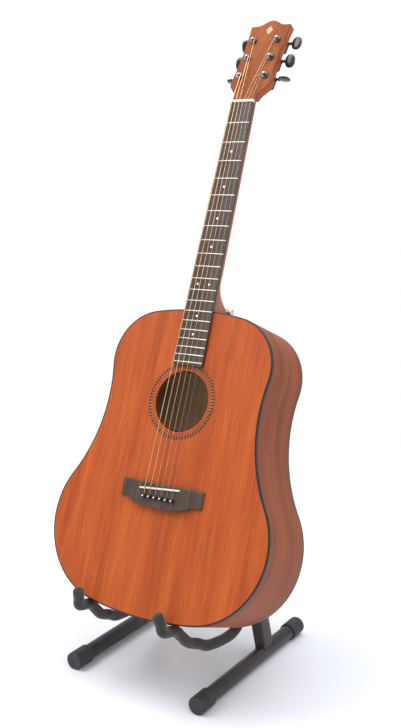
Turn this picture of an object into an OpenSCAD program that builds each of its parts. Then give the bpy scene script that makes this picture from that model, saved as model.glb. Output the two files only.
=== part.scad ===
// Steel-string acoustic guitar standing in a folding A-frame floor stand.
// Row frame: +Z up, +X to the right of someone facing the guitar, the guitar faces -Y.
// Origin: on the floor, midway between the foot tubes. Millimetres.

/* [Guitar body] */
// Length of the body, tail to neck end
body_len = 496; // [480:1:520]
// Widest place of the lower bout
lower_bout = 408; // [390:1:430]
// Widest place of the upper bout
upper_bout = 302; // [285:1:315]
// Radius of the arc across the tail
tail_r = 565; // [500:5:620]
// Radius of the lower bout's corner arcs
lower_r = 128; // [115:1:140]
// Radius of the hollow arc at the waist
waist_r = 263; // [220:1:300]
// Radius of the upper bout's corner arcs
upper_r = 83; // [75:1:95]
// Radius of the arc across the neck end
top_r = 457; // [400:1:520]
// Depth of the body at the tail
tail_depth = 125; // [110:1:130]
// Depth of the body at the neck end
neck_depth = 105; // [90:1:110]
// Thickness of the soundboard
top_t = 3; // [2.5:0.1:4]
// Thickness of the back plate
back_t = 3; // [2.5:0.1:4]
// Thickness of the ribs and width of the binding
rib_t = 2.5; // [2:0.1:3]
// Height of the binding
binding_h = 6; // [4:0.5:8]
// Radius of the sound hole
hole_r = 50; // [45:0.5:52]
// Sound hole centre, measured from the tail
hole_y = 345; // [330:1:360]
// Inner radius of the rosette
rosette_in = 53; // [52.5:0.5:55]
// Outer radius of the rosette
rosette_out = 62.5; // [60:0.5:66]

/* [Neck and strings] */
// String length from nut to saddle
scale_len = 648; // [630:1:660]
// Fret that lies over the body's edge
join_fret = 14; // [12:1:14]
// Number of frets
fret_count = 20; // [18:1:21]
// Width of the fretboard at the nut
nut_w = 43; // [41:0.5:45]
// Growth of the fretboard's width per millimetre from the nut
board_flare = 0.03; // [0.02:0.005:0.035]
// Thickness of the fretboard
board_t = 5.9; // [5:0.1:7]
// Radius of the fretboard's crown
board_r = 400; // [300:10:500]
// Angle by which the neck leans back from the soundboard
neck_tilt = 0.6; // [0:0.1:1]
// Thickness of the neck wood at the nut
neck_t = 15; // [13:0.5:18]
// Angle by which the headstock leans back from the neck
head_angle = 13.5; // [10:0.5:16]
// Length of the headstock to its corners
head_len = 158; // [150:1:170]
// Half width of the headstock at its narrowest
head_half = 35; // [33:0.5:38]
// Thickness of the headstock wood
head_t = 12; // [11:0.5:16]
// Width of the bridge
bridge_w = 154; // [145:1:165]
// Height of the bridge in the middle
bridge_h = 9; // [8:0.5:10]
// Spacing of the bridge pins
pin_gap = 10.8; // [10:0.1:11]
// Spacing of the strings at the nut
nut_gap = 7.2; // [6.8:0.1:7.4]

/* [Stand] */
// Lean of the guitar from upright
lean = 23; // [18:1:26]
// Sideways tilt of the guitar in its cradle
roll = 2; // [0:0.5:3]
// Lowest point of the guitar's front, sideways from the middle
guitar_x = 26; // [0:1:30]
// Lowest point of the guitar's front, in front of the middle
guitar_y = -186; // [-195:1:-180]
// Lowest point of the guitar's front above the floor
guitar_z = 145; // [140:1:160]
// Distance of each foot tube from the middle
foot_x = 123; // [110:1:135]
// Length of a foot tube
foot_len = 324; // [300:1:360]
// Diameter of a foot tube
tube_d = 25; // [22:1:28]
// Wall of the steel tubes
tube_wall = 1.5; // [1.2:0.1:2]
// Width of an upright across the stand
upright_w = 20; // [18:1:22]
// Depth of an upright, front to back
upright_d = 30; // [26:1:32]
// Place of an upright along its foot tube
upright_y = 50; // [40:1:60]
// Height of the hinge bolts above the floor
hinge_z = 395; // [380:1:410]
// Distance of each hinge bolt from the middle
hinge_x = 14; // [13:0.5:16]
// Lean of the legs from upright, towards the back
leg_back = 5; // [3:0.5:7]
// Diameter of a rubber foot cap
cap_d = 30; // [29:0.5:33]
// Length of a rubber foot cap
cap_len = 36; // [30:1:45]
// Diameter of the foam on the cradle rods
foam_d = 18; // [16:0.5:20]
// Diameter of the foam on the back rests
rest_foam_d = 20; // [18:0.5:22]
// Diameter of the bent steel rods
rod_d = 8; // [7:0.5:9]
// Diameter of the hinge bolts
bolt_d = 6; // [5:0.5:8]

/* [Hidden] */
$fn = 96;
far = 1000; // longer than anything that a cut has to pass through
fit = 0.05; // clearance of glued and drilled fits
gap = 0.3; // clearance between pieces of different bodies

// ---------- small helpers ----------
function unit(v) = v / norm(v);
function flip(p) = [-p.x, p.y];
function turn_x(v, a) = [v.x, v.y * cos(a) - v.z * sin(a), v.y * sin(a) + v.z * cos(a)];
function turn_y(v, a) = [v.x * cos(a) + v.z * sin(a), v.y, v.z * cos(a) - v.x * sin(a)];

// A round bar between two points
module bar(a, b, d) {
    v = b - a;
    translate(a) rotate([0, acos(v.z / norm(v)), atan2(v.y, v.x)]) cylinder(d = d, h = norm(v));
}

// A tube, or a bar when bore is 0, swept along points: rings square to the path, ends closed
function ring_axis(path, i) =
    unit(path[min(i + 1, len(path) - 1)] - path[max(i - 1, 0)]);
function ring(centre, axis, r, sides) =
    let (across = unit(cross(axis, [1, 0.02, 0.03])), up = cross(axis, across))
    [for (k = [0 : sides - 1]) let (a = 360 * k / sides)
        centre + r * (cos(a) * across + sin(a) * up)];
function skin(rings, first, sides, inside) =
    [for (i = [0 : rings - 2], k = [0 : sides - 1])
        let (a = first + i * sides + k, b = first + i * sides + (k + 1) % sides,
            c = a + sides, d = b + sides)
        each inside ? [[a, b, d], [a, d, c]] : [[a, d, b], [a, c, d]]];
module sweep(path, r, bore = 0, sides = 16) {
    n = len(path);
    outer = [for (i = [0 : n - 1]) each ring(path[i], ring_axis(path, i), r, sides)];
    inner = bore == 0 ? []
        : [for (i = [0 : n - 1]) each ring(path[i], ring_axis(path, i), bore, sides)];
    start = n * sides;
    last = (n - 1) * sides;
    ends = bore == 0
        ? [[for (k = [0 : sides - 1]) k], [for (k = [sides - 1 : -1 : 0]) last + k]]
        : [for (k = [0 : sides - 1]) let (m = (k + 1) % sides)
            each [[k, m, start + m], [k, start + m, start + k],
                [last + m, last + k, start + last + k],
                [last + m, start + last + k, start + last + m]]];
    walls = bore == 0 ? skin(n, 0, sides, false)
        : concat(skin(n, 0, sides, false), skin(n, start, sides, true));
    polyhedron(concat(outer, inner), concat(walls, ends));
}
// Points of a smooth curve through the given ones
function spline_point(p, i, t) =
    let (a = p[max(i - 1, 0)], b = p[i], c = p[i + 1], d = p[min(i + 2, len(p) - 1)])
    0.5 * (2 * b + (c - a) * t + (2 * a - 5 * b + 4 * c - d) * t * t
        + (3 * b - a - 3 * c + d) * t * t * t);
function spline(p, steps) =
    concat([for (i = [0 : len(p) - 2], k = [0 : steps - 1]) spline_point(p, i, k / steps)],
        [p[len(p) - 1]]);

// ---------- guitar body ----------
// Body frame: x to the right, y up the neck from the tail, z out of the soundboard's face
guitar_pos = [guitar_x, guitar_y, guitar_z];
function to_row(p) = guitar_pos + turn_y(turn_x(p, 90 - lean), -roll);
module guitar_place() translate(guitar_pos) rotate([90 - lean, -roll, 0]) children();

tail_c = [0, tail_r];
top_c = [0, body_len - top_r];
lower_c = let (x = lower_bout / 2 - lower_r)
    [x, tail_r - sqrt(pow(tail_r - lower_r, 2) - x * x)];
upper_c = let (x = upper_bout / 2 - upper_r)
    [x, top_c.y + sqrt(pow(top_r - upper_r, 2) - x * x)];
waist_c = let (d = norm(upper_c - lower_c), u = (upper_c - lower_c) / d,
        reach = lower_r + waist_r,
        along = (d * d + reach * reach - pow(upper_r + waist_r, 2)) / (2 * d))
    lower_c + along * u + sqrt(reach * reach - along * along) * [u.y, -u.x];

// The body's plan of tangent arcs, moved inwards by inset
module plan(inset = 0) {
    tail_ray = lower_c + 2 * lower_r * unit(lower_c - tail_c);
    top_ray = upper_c + 2 * upper_r * unit(upper_c - top_c);
    intersection() {
        translate(tail_c) circle(tail_r - inset, $fn = 360);
        polygon([flip(lower_c), lower_c, tail_ray, flip(tail_ray)]);
    }
    intersection() {
        translate(top_c) circle(top_r - inset, $fn = 360);
        polygon([flip(upper_c), upper_c, top_ray, flip(top_ray)]);
    }
    difference() {
        polygon([flip(lower_c), lower_c, waist_c, upper_c, flip(upper_c), flip(waist_c)]);
        for (c = [waist_c, flip(waist_c)]) translate(c) circle(waist_r + inset, $fn = 240);
    }
    for (c = [lower_c, flip(lower_c)]) translate(c) circle(lower_r - inset, $fn = 180);
    for (c = [upper_c, flip(upper_c)]) translate(c) circle(upper_r - inset, $fn = 180);
}
// Height of the plan's tail edge at x
function tail_edge(x) =
    let (tangent = lower_c.x * tail_r / (tail_r - lower_r), a = abs(x))
    a < tangent ? tail_r - sqrt(tail_r * tail_r - a * a)
    : lower_c.y - sqrt(lower_r * lower_r - pow(a - lower_c.x, 2));

taper = atan((tail_depth - neck_depth) / body_len);
// Everything between depth a below the face and depth b above the back's outer face
module depth_band(a, b) {
    difference() {
        translate([-far / 2, -far / 2, -far / 2]) cube([far, 2 * far, far / 2 - a]);
        translate([0, 0, -tail_depth]) rotate([taper, 0, 0])
            translate([-far / 2, -far / 2, -far]) cube([far, 2 * far, far + b]);
    }
}
// The same slab between depths a and b, both measured up from the back's outer face
module back_band(a, b) {
    translate([0, 0, -tail_depth]) rotate([taper, 0, 0])
        translate([-far / 2, -far / 2, a]) cube([far, 2 * far, b - a]);
}
module shell(outer, inner) {
    translate([0, 0, -far / 4]) linear_extrude(far / 4) difference() {
        plan(outer);
        plan(inner);
    }
}
module board(outer) {
    translate([0, 0, -far / 4]) linear_extrude(far / 4) plan(outer);
}

lining_w = 7;
lining_h = 15;
block_w = 90;
neck_block_l = 48;
tail_block_l = 20;
rosette_t = 1;
saddle_lift = 12.4; // height of the strings' undersides over the saddle
pin_y_gap = 15; // from saddle to pins
pin_hole_r = 2.6;
string_d = [1.35, 1.07, 0.81, 0.61, 0.41, 0.3];
string_fit = 0.04;

join_inset = 3.6; // the joint's fret lies this far inside the body's edge
function from_nut(n) = scale_len * (1 - pow(2, -n / 12));
nut_y = from_nut(join_fret) - join_inset; // along the neck, from the body's edge
saddle_y = body_len + nut_y - scale_len - 2; // 2 for the strings' stretch when fretted
pin_y = saddle_y - pin_y_gap;
function pin_x(i) = (i - 2.5) * pin_gap;

module pin_holes(r) {
    for (i = [0 : 5]) translate([pin_x(i), pin_y, -far / 2]) cylinder(r = r, h = far);
}
module soundboard() {
    color([0.72, 0.32, 0.14]) difference() {
        intersection() {
            board(rib_t);
            translate([-far / 2, -far / 2, -top_t]) cube([far, 2 * far, top_t]);
        }
        translate([0, hole_y, -far / 2]) cylinder(r = hole_r, h = far, $fn = 180);
        translate([0, hole_y, -rosette_t]) difference() {
            cylinder(r = rosette_out, h = far, $fn = 180);
            translate([0, 0, -1]) cylinder(r = rosette_in, h = far + 2, $fn = 180);
        }
        pin_holes(pin_hole_r);
    }
}
module rosette() {
    color([0.35, 0.25, 0.18]) translate([0, hole_y, -rosette_t]) difference() {
        cylinder(r = rosette_out, h = rosette_t, $fn = 180);
        translate([0, 0, -1]) cylinder(r = rosette_in, h = rosette_t + 2, $fn = 180);
    }
}
module back_plate() {
    color([0.42, 0.22, 0.13]) intersection() {
        board(rib_t);
        back_band(0, back_t);
    }
}
module tail_pin_hole(r) {
    translate([0, rib_t + tail_block_l, -tail_depth / 2]) rotate([90, 0, 0]) cylinder(r = r, h = far);
}
module side(right) {
    color([0.45, 0.25, 0.15]) difference() {
        intersection() {
            shell(0, rib_t);
            depth_band(binding_h, binding_h);
            translate([right ? 0 : -far, -far / 2, -far / 2]) cube([far, 2 * far, far]);
        }
        tail_pin_hole(button_r);
    }
}
module binding_top() {
    color([0.06, 0.05, 0.05]) intersection() {
        shell(0, rib_t);
        translate([-far / 2, -far / 2, -binding_h]) cube([far, 2 * far, binding_h]);
    }
}
module binding_back() {
    color([0.06, 0.05, 0.05]) intersection() {
        shell(0, rib_t);
        back_band(0, binding_h);
    }
}
module blocks_space() {
    translate([-block_w / 2, body_len - neck_block_l - rib_t, -far / 2])
        cube([block_w, far, far]);
    translate([-block_w / 2, tail_block_l + rib_t - far, -far / 2]) cube([block_w, far, far]);
}
module linings() {
    color([0.78, 0.62, 0.42]) difference() {
        intersection() {
            shell(rib_t, rib_t + lining_w);
            union() {
                translate([-far / 2, -far / 2, -lining_h - top_t]) cube([far, 2 * far, lining_h]);
                back_band(back_t, back_t + lining_h);
            }
        }
        blocks_space();
    }
}
module end_blocks() {
    color([0.6, 0.36, 0.2]) difference() {
        intersection() {
            board(rib_t);
            depth_band(top_t, back_t);
            blocks_space();
        }
        tail_pin_hole(button_shank_r);
    }
}
brace_h = 14;
brace_w = 8;
cross_y = hole_y - hole_r - 38; // where the two long braces cross
cross_angle = 48;
module soundboard_braces() {
    color([0.82, 0.68, 0.46]) intersection() {
        board(rib_t + lining_w + 0.5);
        union() {
            for (s = [-1, 1]) {
                translate([0, cross_y, -top_t - brace_h]) rotate([0, 0, s * cross_angle])
                    translate([-brace_w / 2, -far / 4, 0]) cube([brace_w, far / 2 - 30, brace_h]);
            }
            // bar across the upper bout, between the hole and the neck block
            translate([-far / 4, body_len - neck_block_l - rib_t - 24, -top_t - brace_h])
                cube([far / 2, brace_w + 4, brace_h]);
            // tone bars in the lower bout, clear of the bridge plate
            for (y = [pin_y - 52, pin_y - 92])
                translate([-20, y, -top_t - 10]) rotate([0, 0, 14]) cube([110, 6, 10]);
        }
    }
}
module back_braces() {
    color([0.82, 0.68, 0.46]) intersection() {
        board(rib_t + lining_w + 0.5);
        back_band(back_t, back_t + brace_h);
        union() for (part = [0.16, 0.38, 0.6, 0.82])
            translate([-far / 2, body_len * part, -far / 2]) cube([far, brace_w, far]);
    }
}
module bridge_plate() {
    color([0.85, 0.75, 0.6]) difference() {
        translate([-70, pin_y - 20, -top_t - 2.5]) cube([140, 36, 2.5]);
        for (s = [-1, 1])
            translate([0, cross_y, -far / 2]) rotate([0, 0, s * cross_angle])
                translate([-brace_w / 2 - 0.2, -far / 2, 0]) cube([brace_w + 0.4, far, far]);
        pin_holes(pin_hole_r);
    }
}

// ---------- bridge ----------
bridge_edge = 8; // from the saddle's middle to the bridge's upper edge
wing_len = 28;
belly = 11.5;
belly_half = 62;
wing_h = 4;
saddle_len = 75;
saddle_t = 3;
saddle_skew = 4.5; // the bass end lies nearer the tail
function belly_at(x) = belly * cos(90 * pow(min(abs(x) / belly_half, 1), 1.8));
module bridge_plan() {
    h = bridge_w / 2;
    polygon(concat([[h, 0], [-h, 0], [-h, -wing_len]],
        [for (x = [-belly_half : belly_half / 16 : belly_half]) [x, -wing_len - belly_at(x)]],
        [[h, -wing_len]]));
}
// Side view across the bridge: flat over the pins, thin at the wings
module bridge_profile() {
    h = bridge_w / 2;
    flat = saddle_len / 2 + 6;
    sweep_x = h - flat;
    polygon(concat([[-h - 1, 0]],
        [for (t = [0 : 0.125 : 1]) [-h - 1 + t * (sweep_x + 1), wing_h + (bridge_h - wing_h)
            * (1 - cos(180 * t)) / 2]],
        [for (t = [0 : 0.125 : 1]) [flat + t * (sweep_x + 1), bridge_h - (bridge_h - wing_h)
            * (1 - cos(180 * t)) / 2]],
        [[h + 1, 0]]));
}
module saddle_place() translate([0, saddle_y, 0]) rotate([0, 0, saddle_skew]) children();
module saddle_body(clear) {
    saddle_place() {
        translate([-saddle_len / 2 - clear, -saddle_t / 2 - clear, bridge_h - 5 - clear])
            cube([saddle_len + 2 * clear, saddle_t + 2 * clear, 5 + saddle_lift - saddle_t / 2
                - bridge_h + clear]);
        translate([-saddle_len / 2 - clear, 0, saddle_lift - saddle_t / 2]) rotate([0, 90, 0])
            cylinder(d = saddle_t + 2 * clear, h = saddle_len + 2 * clear);
    }
}
module bridge() {
    color([0.2, 0.15, 0.13]) difference() {
        intersection() {
            translate([0, saddle_y + bridge_edge, 0]) linear_extrude(far / 4) bridge_plan();
            translate([0, saddle_y + bridge_edge + 1, 0]) rotate([90, 0, 0])
                linear_extrude(wing_len + belly + 2) bridge_profile();
        }
        saddle_body(fit);
        pin_holes(pin_hole_r);
    }
}
module saddle() {
    color([0.93, 0.9, 0.82]) difference() {
        saddle_body(0);
        saddle_grooves();
    }
}
pin_head_r = 3.8;
pin_len = 22; // of a pin's shank
pin_neck = 2.6; // bare shank between the bridge and a pin's head
slot_top = 2.4; // of a pin's slot, above the bridge
module bridge_pins() {
    color([0.05, 0.05, 0.05]) difference() {
        for (i = [0 : 5]) translate([pin_x(i), pin_y, bridge_h]) {
            translate([0, 0, -pin_len])
                cylinder(r1 = pin_hole_r - 0.7, r2 = pin_hole_r - fit, h = pin_len);
            cylinder(r = pin_hole_r, h = pin_neck);
            translate([0, 0, pin_neck]) intersection() {
                translate([0, 0, 0.2]) sphere(r = pin_head_r);
                cylinder(r = pin_head_r + 1, h = far);
            }
        }
        // slots for the strings, open towards the saddle
        for (i = [0 : 5]) let (w = string_d[i] + 2 * fit)
            translate([pin_x(i) - w / 2, hole_point_y - w / 2, bridge_h - pin_len - 1])
                cube([w, far, pin_len + 1 + slot_top]);
    }
}

// ---------- strap button and end pin ----------
button_r = 3.5;
button_shank_r = 2.2;
module strap_knob(length) {
    cylinder(r = 6.5, h = 1.2);
    cylinder(r = button_r, h = length);
    translate([0, 0, length - 4]) cylinder(r1 = button_r, r2 = 6, h = 2);
    translate([0, 0, length - 2]) cylinder(r1 = 6, r2 = 5.2, h = 2);
}
module end_pin() {
    color([0.05, 0.05, 0.05]) translate([0, 0, -tail_depth / 2]) rotate([90, 0, 0]) {
        strap_knob(12);
        translate([0, 0, -rib_t]) cylinder(r = button_r - fit, h = rib_t + 0.5);
        translate([0, 0, -rib_t - tail_block_l])
            cylinder(r = button_shank_r - fit, h = tail_block_l + rib_t);
    }
}

// ---------- neck ----------
// Neck frame: origin on the face at the body's edge, y up the neck, z out of the fretboard
module neck_place() translate([0, body_len, 0]) rotate([-neck_tilt, 0, 0]) children();
function from_neck(p) = [0, body_len, 0] + turn_x(p, -neck_tilt);
function fret_y(n) = nut_y - from_nut(n);
board_end = fret_y(fret_count) - 5;
function board_w(y) = nut_w + board_flare * (nut_y - y);
nut_t = 5;
fret_w = 2.2;
crown_h = fret_w / 2;
heel_len = 62;
heel_depth = neck_depth - binding_h - 1;
heel_extra = 24; // how far the heel's curve runs on below its flat foot
heel_cap_t = 2.5;
neck_grow = 0.006; // growth of the neck's thickness per millimetre from the nut
// Depth of the neck's back below the fretboard at y
function heel_rise(y) = pow(max(0, 1 - y / heel_len), 2.6);
function neck_back(y) = neck_t + neck_grow * (nut_y - y)
    + (heel_depth + heel_extra - neck_t) * heel_rise(y);
// Half of the neck's section: 0 at its edge, 1 at the middle of its back
neck_steps = 12;
function neck_half(y, a) =
    board_w(y) / 2 * pow(abs(cos(a)), 0.9) * (1 - 0.35 * pow(heel_rise(y), 0.35) * pow(sin(a), 0.8));
function neck_ring(y) = [for (k = [0 : neck_steps]) let (a = 180 * k / neck_steps)
    [sign(cos(a)) * neck_half(y, a), y, -neck_back(y) * pow(abs(sin(a)), 0.8)]];
neck_ys = concat([for (y = [-2 : 4 : heel_len]) y],
    [for (k = [1 : 12]) heel_len + (nut_y - 12 - heel_len) * k / 12],
    [nut_y - 6, nut_y, nut_y + nut_t]);
module neck_body() {
    rings = [for (y = neck_ys) each neck_ring(y)];
    n = neck_steps + 1;
    m = len(neck_ys);
    polyhedron(rings, concat(
        [for (i = [0 : m - 2], k = [0 : n - 1]) let (a = i * n + k, b = i * n + (k + 1) % n)
            [a, b, b + n, a + n]],
        [[for (k = [n - 1 : -1 : 0]) k], [for (k = [0 : n - 1]) (m - 1) * n + k]]));
}
rod_slot = 6;
rod_end_gap = 30; // from the channel's end to the nut
module neck() {
    color([0.62, 0.3, 0.15]) difference() {
        neck_place() difference() {
            neck_body();
            // channel for the truss rod
            translate([-rod_slot / 2 - fit, -10, -rod_slot - fit])
                cube([rod_slot + 2 * fit, nut_y - rod_end_gap + 10, far]);
        }
        translate([0, 0, -far / 2]) linear_extrude(far) plan(0);
        translate([-far / 2, -far / 2, -heel_depth - far]) cube([far, 2 * far, far]);
        guitar_head_cut();
        strap_button_hole(button_shank_r);
    }
}
// Half width of the neck's section at a depth below the fretboard
function neck_half_at(y, depth) = neck_half(y, asin(pow(min(1, depth / neck_back(y)), 1 / 0.8)));
heel_tip = heel_len * (1 - pow((heel_depth - neck_t) / (heel_depth + heel_extra - neck_t), 1 / 2.6));
module heel_cap() {
    outline = [for (y = [0 : 1 : heel_tip]) [neck_half_at(y, heel_depth), body_len + y]];
    color([0.06, 0.05, 0.05]) difference() {
        translate([0, 0, -heel_depth - heel_cap_t]) linear_extrude(heel_cap_t)
            polygon(concat([[outline[0].x, body_len - 2]], outline,
                [for (i = [len(outline) - 1 : -1 : 0]) flip(outline[i])],
                [[-outline[0].x, body_len - 2]]));
        translate([0, 0, -far / 2]) linear_extrude(far) plan(0);
    }
}
rod_start = 1; // up the neck from the body's edge
module truss_rod() {
    color([0.5, 0.5, 0.52]) neck_place() translate([0, rod_start, -rod_slot / 2])
        rotate([-90, 0, 0]) cylinder(d = rod_slot, h = nut_y - rod_end_gap - rod_start - 2);
}
module board_crown(lift) {
    rotate([-90, 0, 0]) translate([0, board_r - board_t - lift, -far / 2])
        cylinder(r = board_r, h = far, $fn = 720);
}
tang_t = 0.6;
tang_h = 1.6;
dot_frets = [3, 5, 7, 9, 12, 15, 17];
dot_r = 2;
function dot_y(n) = (fret_y(n) + fret_y(n - 1)) / 2;
module dots(r, lift) {
    for (n = dot_frets, s = n == 12 ? [-1, 1] : [0])
        translate([s * 11, dot_y(n), board_t - 1.5]) cylinder(r = r, h = 1.5 - abs(s) * 0.16 + lift);
}
module fretboard() {
    slope = tan(neck_tilt) * board_end;
    color([0.17, 0.12, 0.1]) neck_place() difference() {
        intersection() {
            linear_extrude(far / 4, center = true) polygon([
                [-nut_w / 2, nut_y], [nut_w / 2, nut_y],
                [board_w(board_end) / 2, board_end], [-board_w(board_end) / 2, board_end]]);
            rotate([90, 0, 90]) linear_extrude(far / 4, center = true)
                polygon([[nut_y, 0], [0, 0], [board_end, slope], [board_end, board_t + 1],
                    [nut_y, board_t + 1]]);
            board_crown(0);
        }
        for (n = [1 : fret_count])
            translate([-far / 4, fret_y(n) - tang_t / 2 - fit, board_t - tang_h - 0.7])
                cube([far / 2, tang_t + 2 * fit, far]);
        dots(dot_r + fit, 1);
    }
}
module frets() {
    color([0.75, 0.75, 0.72]) neck_place() for (n = [1 : fret_count]) {
        w = board_w(fret_y(n));
        intersection() {
            translate([-w / 2, fret_y(n) - fret_w, 0]) cube([w, 2 * fret_w, far / 4]);
            union() {
                translate([0, fret_y(n), board_t - board_r]) rotate([90, 0, 0]) rotate([0, 0, 84])
                    rotate_extrude(angle = 12, $fn = 720) intersection() {
                        translate([board_r, 0]) circle(d = fret_w, $fn = 24);
                        translate([board_r + 0.005, -fret_w]) square(2 * fret_w);
                    }
                intersection() {
                    translate([-w / 2, fret_y(n) - tang_t / 2, board_t - tang_h - 0.6])
                        cube([w, tang_t, tang_h + 2]);
                    board_crown(0.5);
                }
            }
        }
    }
}
module position_dots() {
    color([0.9, 0.88, 0.82]) neck_place() dots(dot_r, 0);
}
string_rise = 0.6; // of the strings over the first fret's crown at the nut
nut_top = board_t + crown_h + string_rise - fit;
nut_flat = 1.5; // level part of the nut's top
module nut() {
    color([0.93, 0.9, 0.82]) neck_place() translate([-nut_w / 2, 0, 0]) rotate([90, 0, 90])
        linear_extrude(nut_w) polygon([[nut_y, 0], [nut_y, nut_top], [nut_y + nut_flat, nut_top],
            [nut_y + nut_t, nut_top - 2], [nut_y + nut_t, 0]]);
}

// ---------- headstock ----------
// Head frame: origin at the nut's back edge on the veneer's face, y up the headstock
veneer_t = 2;
head_origin = [0, nut_y + nut_t, veneer_t];
module head_place() neck_place() translate(head_origin) rotate([-head_angle, 0, 0]) children();
function from_head(p) = from_neck(head_origin + turn_x(p, -head_angle));
shoulder_y = 36;
head_crown = 11;
head_crown_half = 27;
flare_r = 22;
function head_side(y) = head_half + 0.0009 * pow(y - 95, 2);
module head_plan() {
    right = concat(
        [[nut_w / 2, 0]],
        [for (a = [0 : 8 : 48]) [nut_w / 2 + flare_r * (1 - cos(a)), 4 + flare_r * sin(a)]],
        [[head_side(shoulder_y) - 1.8, shoulder_y - 6.5], [head_side(shoulder_y) - 0.5, shoulder_y - 4]],
        [for (y = [shoulder_y : (head_len - shoulder_y) / 10 : head_len]) [head_side(y), y]],
        [for (x = [head_crown_half : -head_crown_half / 12 : 0.1])
            [x, head_len + head_crown * (1 + cos(180 * x / head_crown_half)) / 2]]);
    polygon(concat(right, [[0, head_len + head_crown]],
        [for (i = [len(right) - 1 : -1 : 0]) flip(right[i])]));
}
// Cut that leaves the neck wood short of the headstock piece
module guitar_head_cut() {
    head_place() translate([-far / 2, 0, -far / 2]) cube([far, far, far]);
    neck_place() translate([-far / 2, nut_y + nut_t, -far / 2]) cube([far, far, far]);
}
post_ys = [50, 88, 125.5];
function post_x(k) = head_side(post_ys[k]) - 12.5;
post_r = 3;
bushing_r = 4.9;
function post_at(i) = let (k = i < 3 ? i : 5 - i) [(i < 3 ? -1 : 1) * post_x(k), post_ys[k]];
module at_post(i) let (p = post_at(i)) translate([p.x, p.y, 0]) children();
module head_slab(low, high) {
    difference() {
        head_place() translate([0, 0, low]) linear_extrude(high - low) head_plan();
        neck_place() translate([-far / 2, nut_y + nut_t - far, 0]) cube([far, far, far]);
    }
}
module headstock() {
    color([0.62, 0.3, 0.15]) difference() {
        head_slab(-veneer_t - head_t, -veneer_t);
        head_place() for (i = [0 : 5]) {
            at_post(i) translate([0, 0, -far / 2]) cylinder(r = bushing_r + fit, h = far);
            translate([0, 0, -veneer_t - head_t]) screw_spot(i)
                translate([0, 0, -1]) cylinder(r = screw_r + fit, h = screw_len + 1.2);
        }
    }
}
module headstock_veneer() {
    color([0.68, 0.3, 0.14]) difference() {
        head_slab(-veneer_t, 0);
        head_place() {
            for (i = [0 : 5])
                at_post(i) translate([0, 0, -far / 2]) cylinder(r = bushing_r + fit, h = far);
            translate([0, 0, -0.8]) linear_extrude(2) emblem_plan(fit);
        }
    }
}
emblem_y = 148;
// A plain lozenge with hollow sides
module emblem_plan(grow) {
    difference() {
        translate([0, emblem_y]) polygon([[-7 - grow, 0], [0, -9 - grow], [7 + grow, 0], [0, 9 + grow]]);
        for (sx = [-1, 1], sy = [-1, 1]) translate([sx * 8.5, emblem_y + sy * 9]) circle(r = 6 - grow);
    }
}
module headstock_emblem() {
    color([0.85, 0.8, 0.65]) head_place() translate([0, 0, -0.8]) linear_extrude(0.8) emblem_plan(0);
}

// ---------- tuners ----------
housing = [19, 24, 11];
shaft_offset = 6.5;
shaft_r = 1.9;
worm_r = 2.4;
gear_r = 3.9;
gear_t = 5;
screw_r = 1.2;
screw_len = 8;
post_top = 8.5;
shaft_z = -veneer_t - head_t - housing.z / 2;
button_mid = 13.5; // from the headstock's edge to the button's middle
button_size = [18, 23, 6];
button_turns = [112, 30, 40, 12, 22, 112]; // rest angle of each button about its shaft
button_dome = 18; // radius of a button's rounded faces
module button_plan() {
    for (k = [-1, 1]) translate([0, k * (button_size.y - button_size.x) / 2])
        circle(d = button_size.x);
    square([button_size.x, button_size.y - button_size.x], center = true);
}
function side_of(i) = i < 3 ? -1 : 1;
module screw_spot(i) at_post(i) translate([0, -housing.y / 2 + 2.6, 0]) children();
module tuner_housings() {
    color([0.09, 0.09, 0.1]) head_place() for (i = [0 : 5]) difference() {
        at_post(i) translate([-housing.x / 2, -housing.y / 2, -veneer_t - head_t - housing.z])
            cube(housing);
        at_post(i) {
            translate([0, 0, shaft_z - gear_t / 2 - gap])
                cylinder(r = gear_r + gap, h = gear_t + 2 * gap);
            translate([0, 0, shaft_z]) cylinder(r = post_r + fit, h = far);
            translate([0, shaft_offset, shaft_z]) rotate([0, 90, 0]) {
                cylinder(r = worm_r + gap, h = 12, center = true);
                cylinder(r = shaft_r + fit, h = 2 * housing.x, center = true);
            }
        }
        screw_spot(i) translate([0, 0, -far / 2]) cylinder(r = screw_r + fit, h = far);
    }
}
module tuner_bushings() {
    color([0.12, 0.12, 0.13]) head_place() for (i = [0 : 5]) at_post(i) difference() {
        union() {
            translate([0, 0, -veneer_t - head_t + fit]) cylinder(r = bushing_r, h = veneer_t + head_t);
            cylinder(r = 7.2, h = 1);
            translate([0, 0, 1]) cylinder(r1 = 6.6, r2 = 5.6, h = 2);
        }
        translate([0, 0, -far / 2]) cylinder(r = post_r + fit, h = far);
    }
}
module tuner_screws() {
    color([0.15, 0.15, 0.16]) head_place() for (i = [0 : 5]) screw_spot(i)
        translate([0, 0, -veneer_t - head_t - housing.z]) difference() {
            union() {
                cylinder(r = screw_r, h = housing.z + screw_len);
                translate([0, 0, -1.2]) cylinder(r = 2.3, h = 1.2);
            }
            translate([-0.3, -2.5, -2]) cube([0.6, 5, 1.4]);
        }
}
module tuner_post(i) {
    color([0.35, 0.35, 0.37]) head_place() at_post(i) difference() {
        union() {
            translate([0, 0, shaft_z]) cylinder(r = post_r, h = post_top - shaft_z - 0.8);
            translate([0, 0, post_top - 0.8]) cylinder(r1 = post_r, r2 = post_r - 0.8, h = 0.8);
            translate([0, 0, shaft_z - gear_t / 2]) cylinder(r = gear_r, h = gear_t);
        }
        translate([0, 0, post_top - 2.4]) rotate([0, 90, post_turn(i)])
            cylinder(d = 1.8, h = 4 * post_r, center = true);
    }
}
function post_turn(i) = 30 * i;
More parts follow.
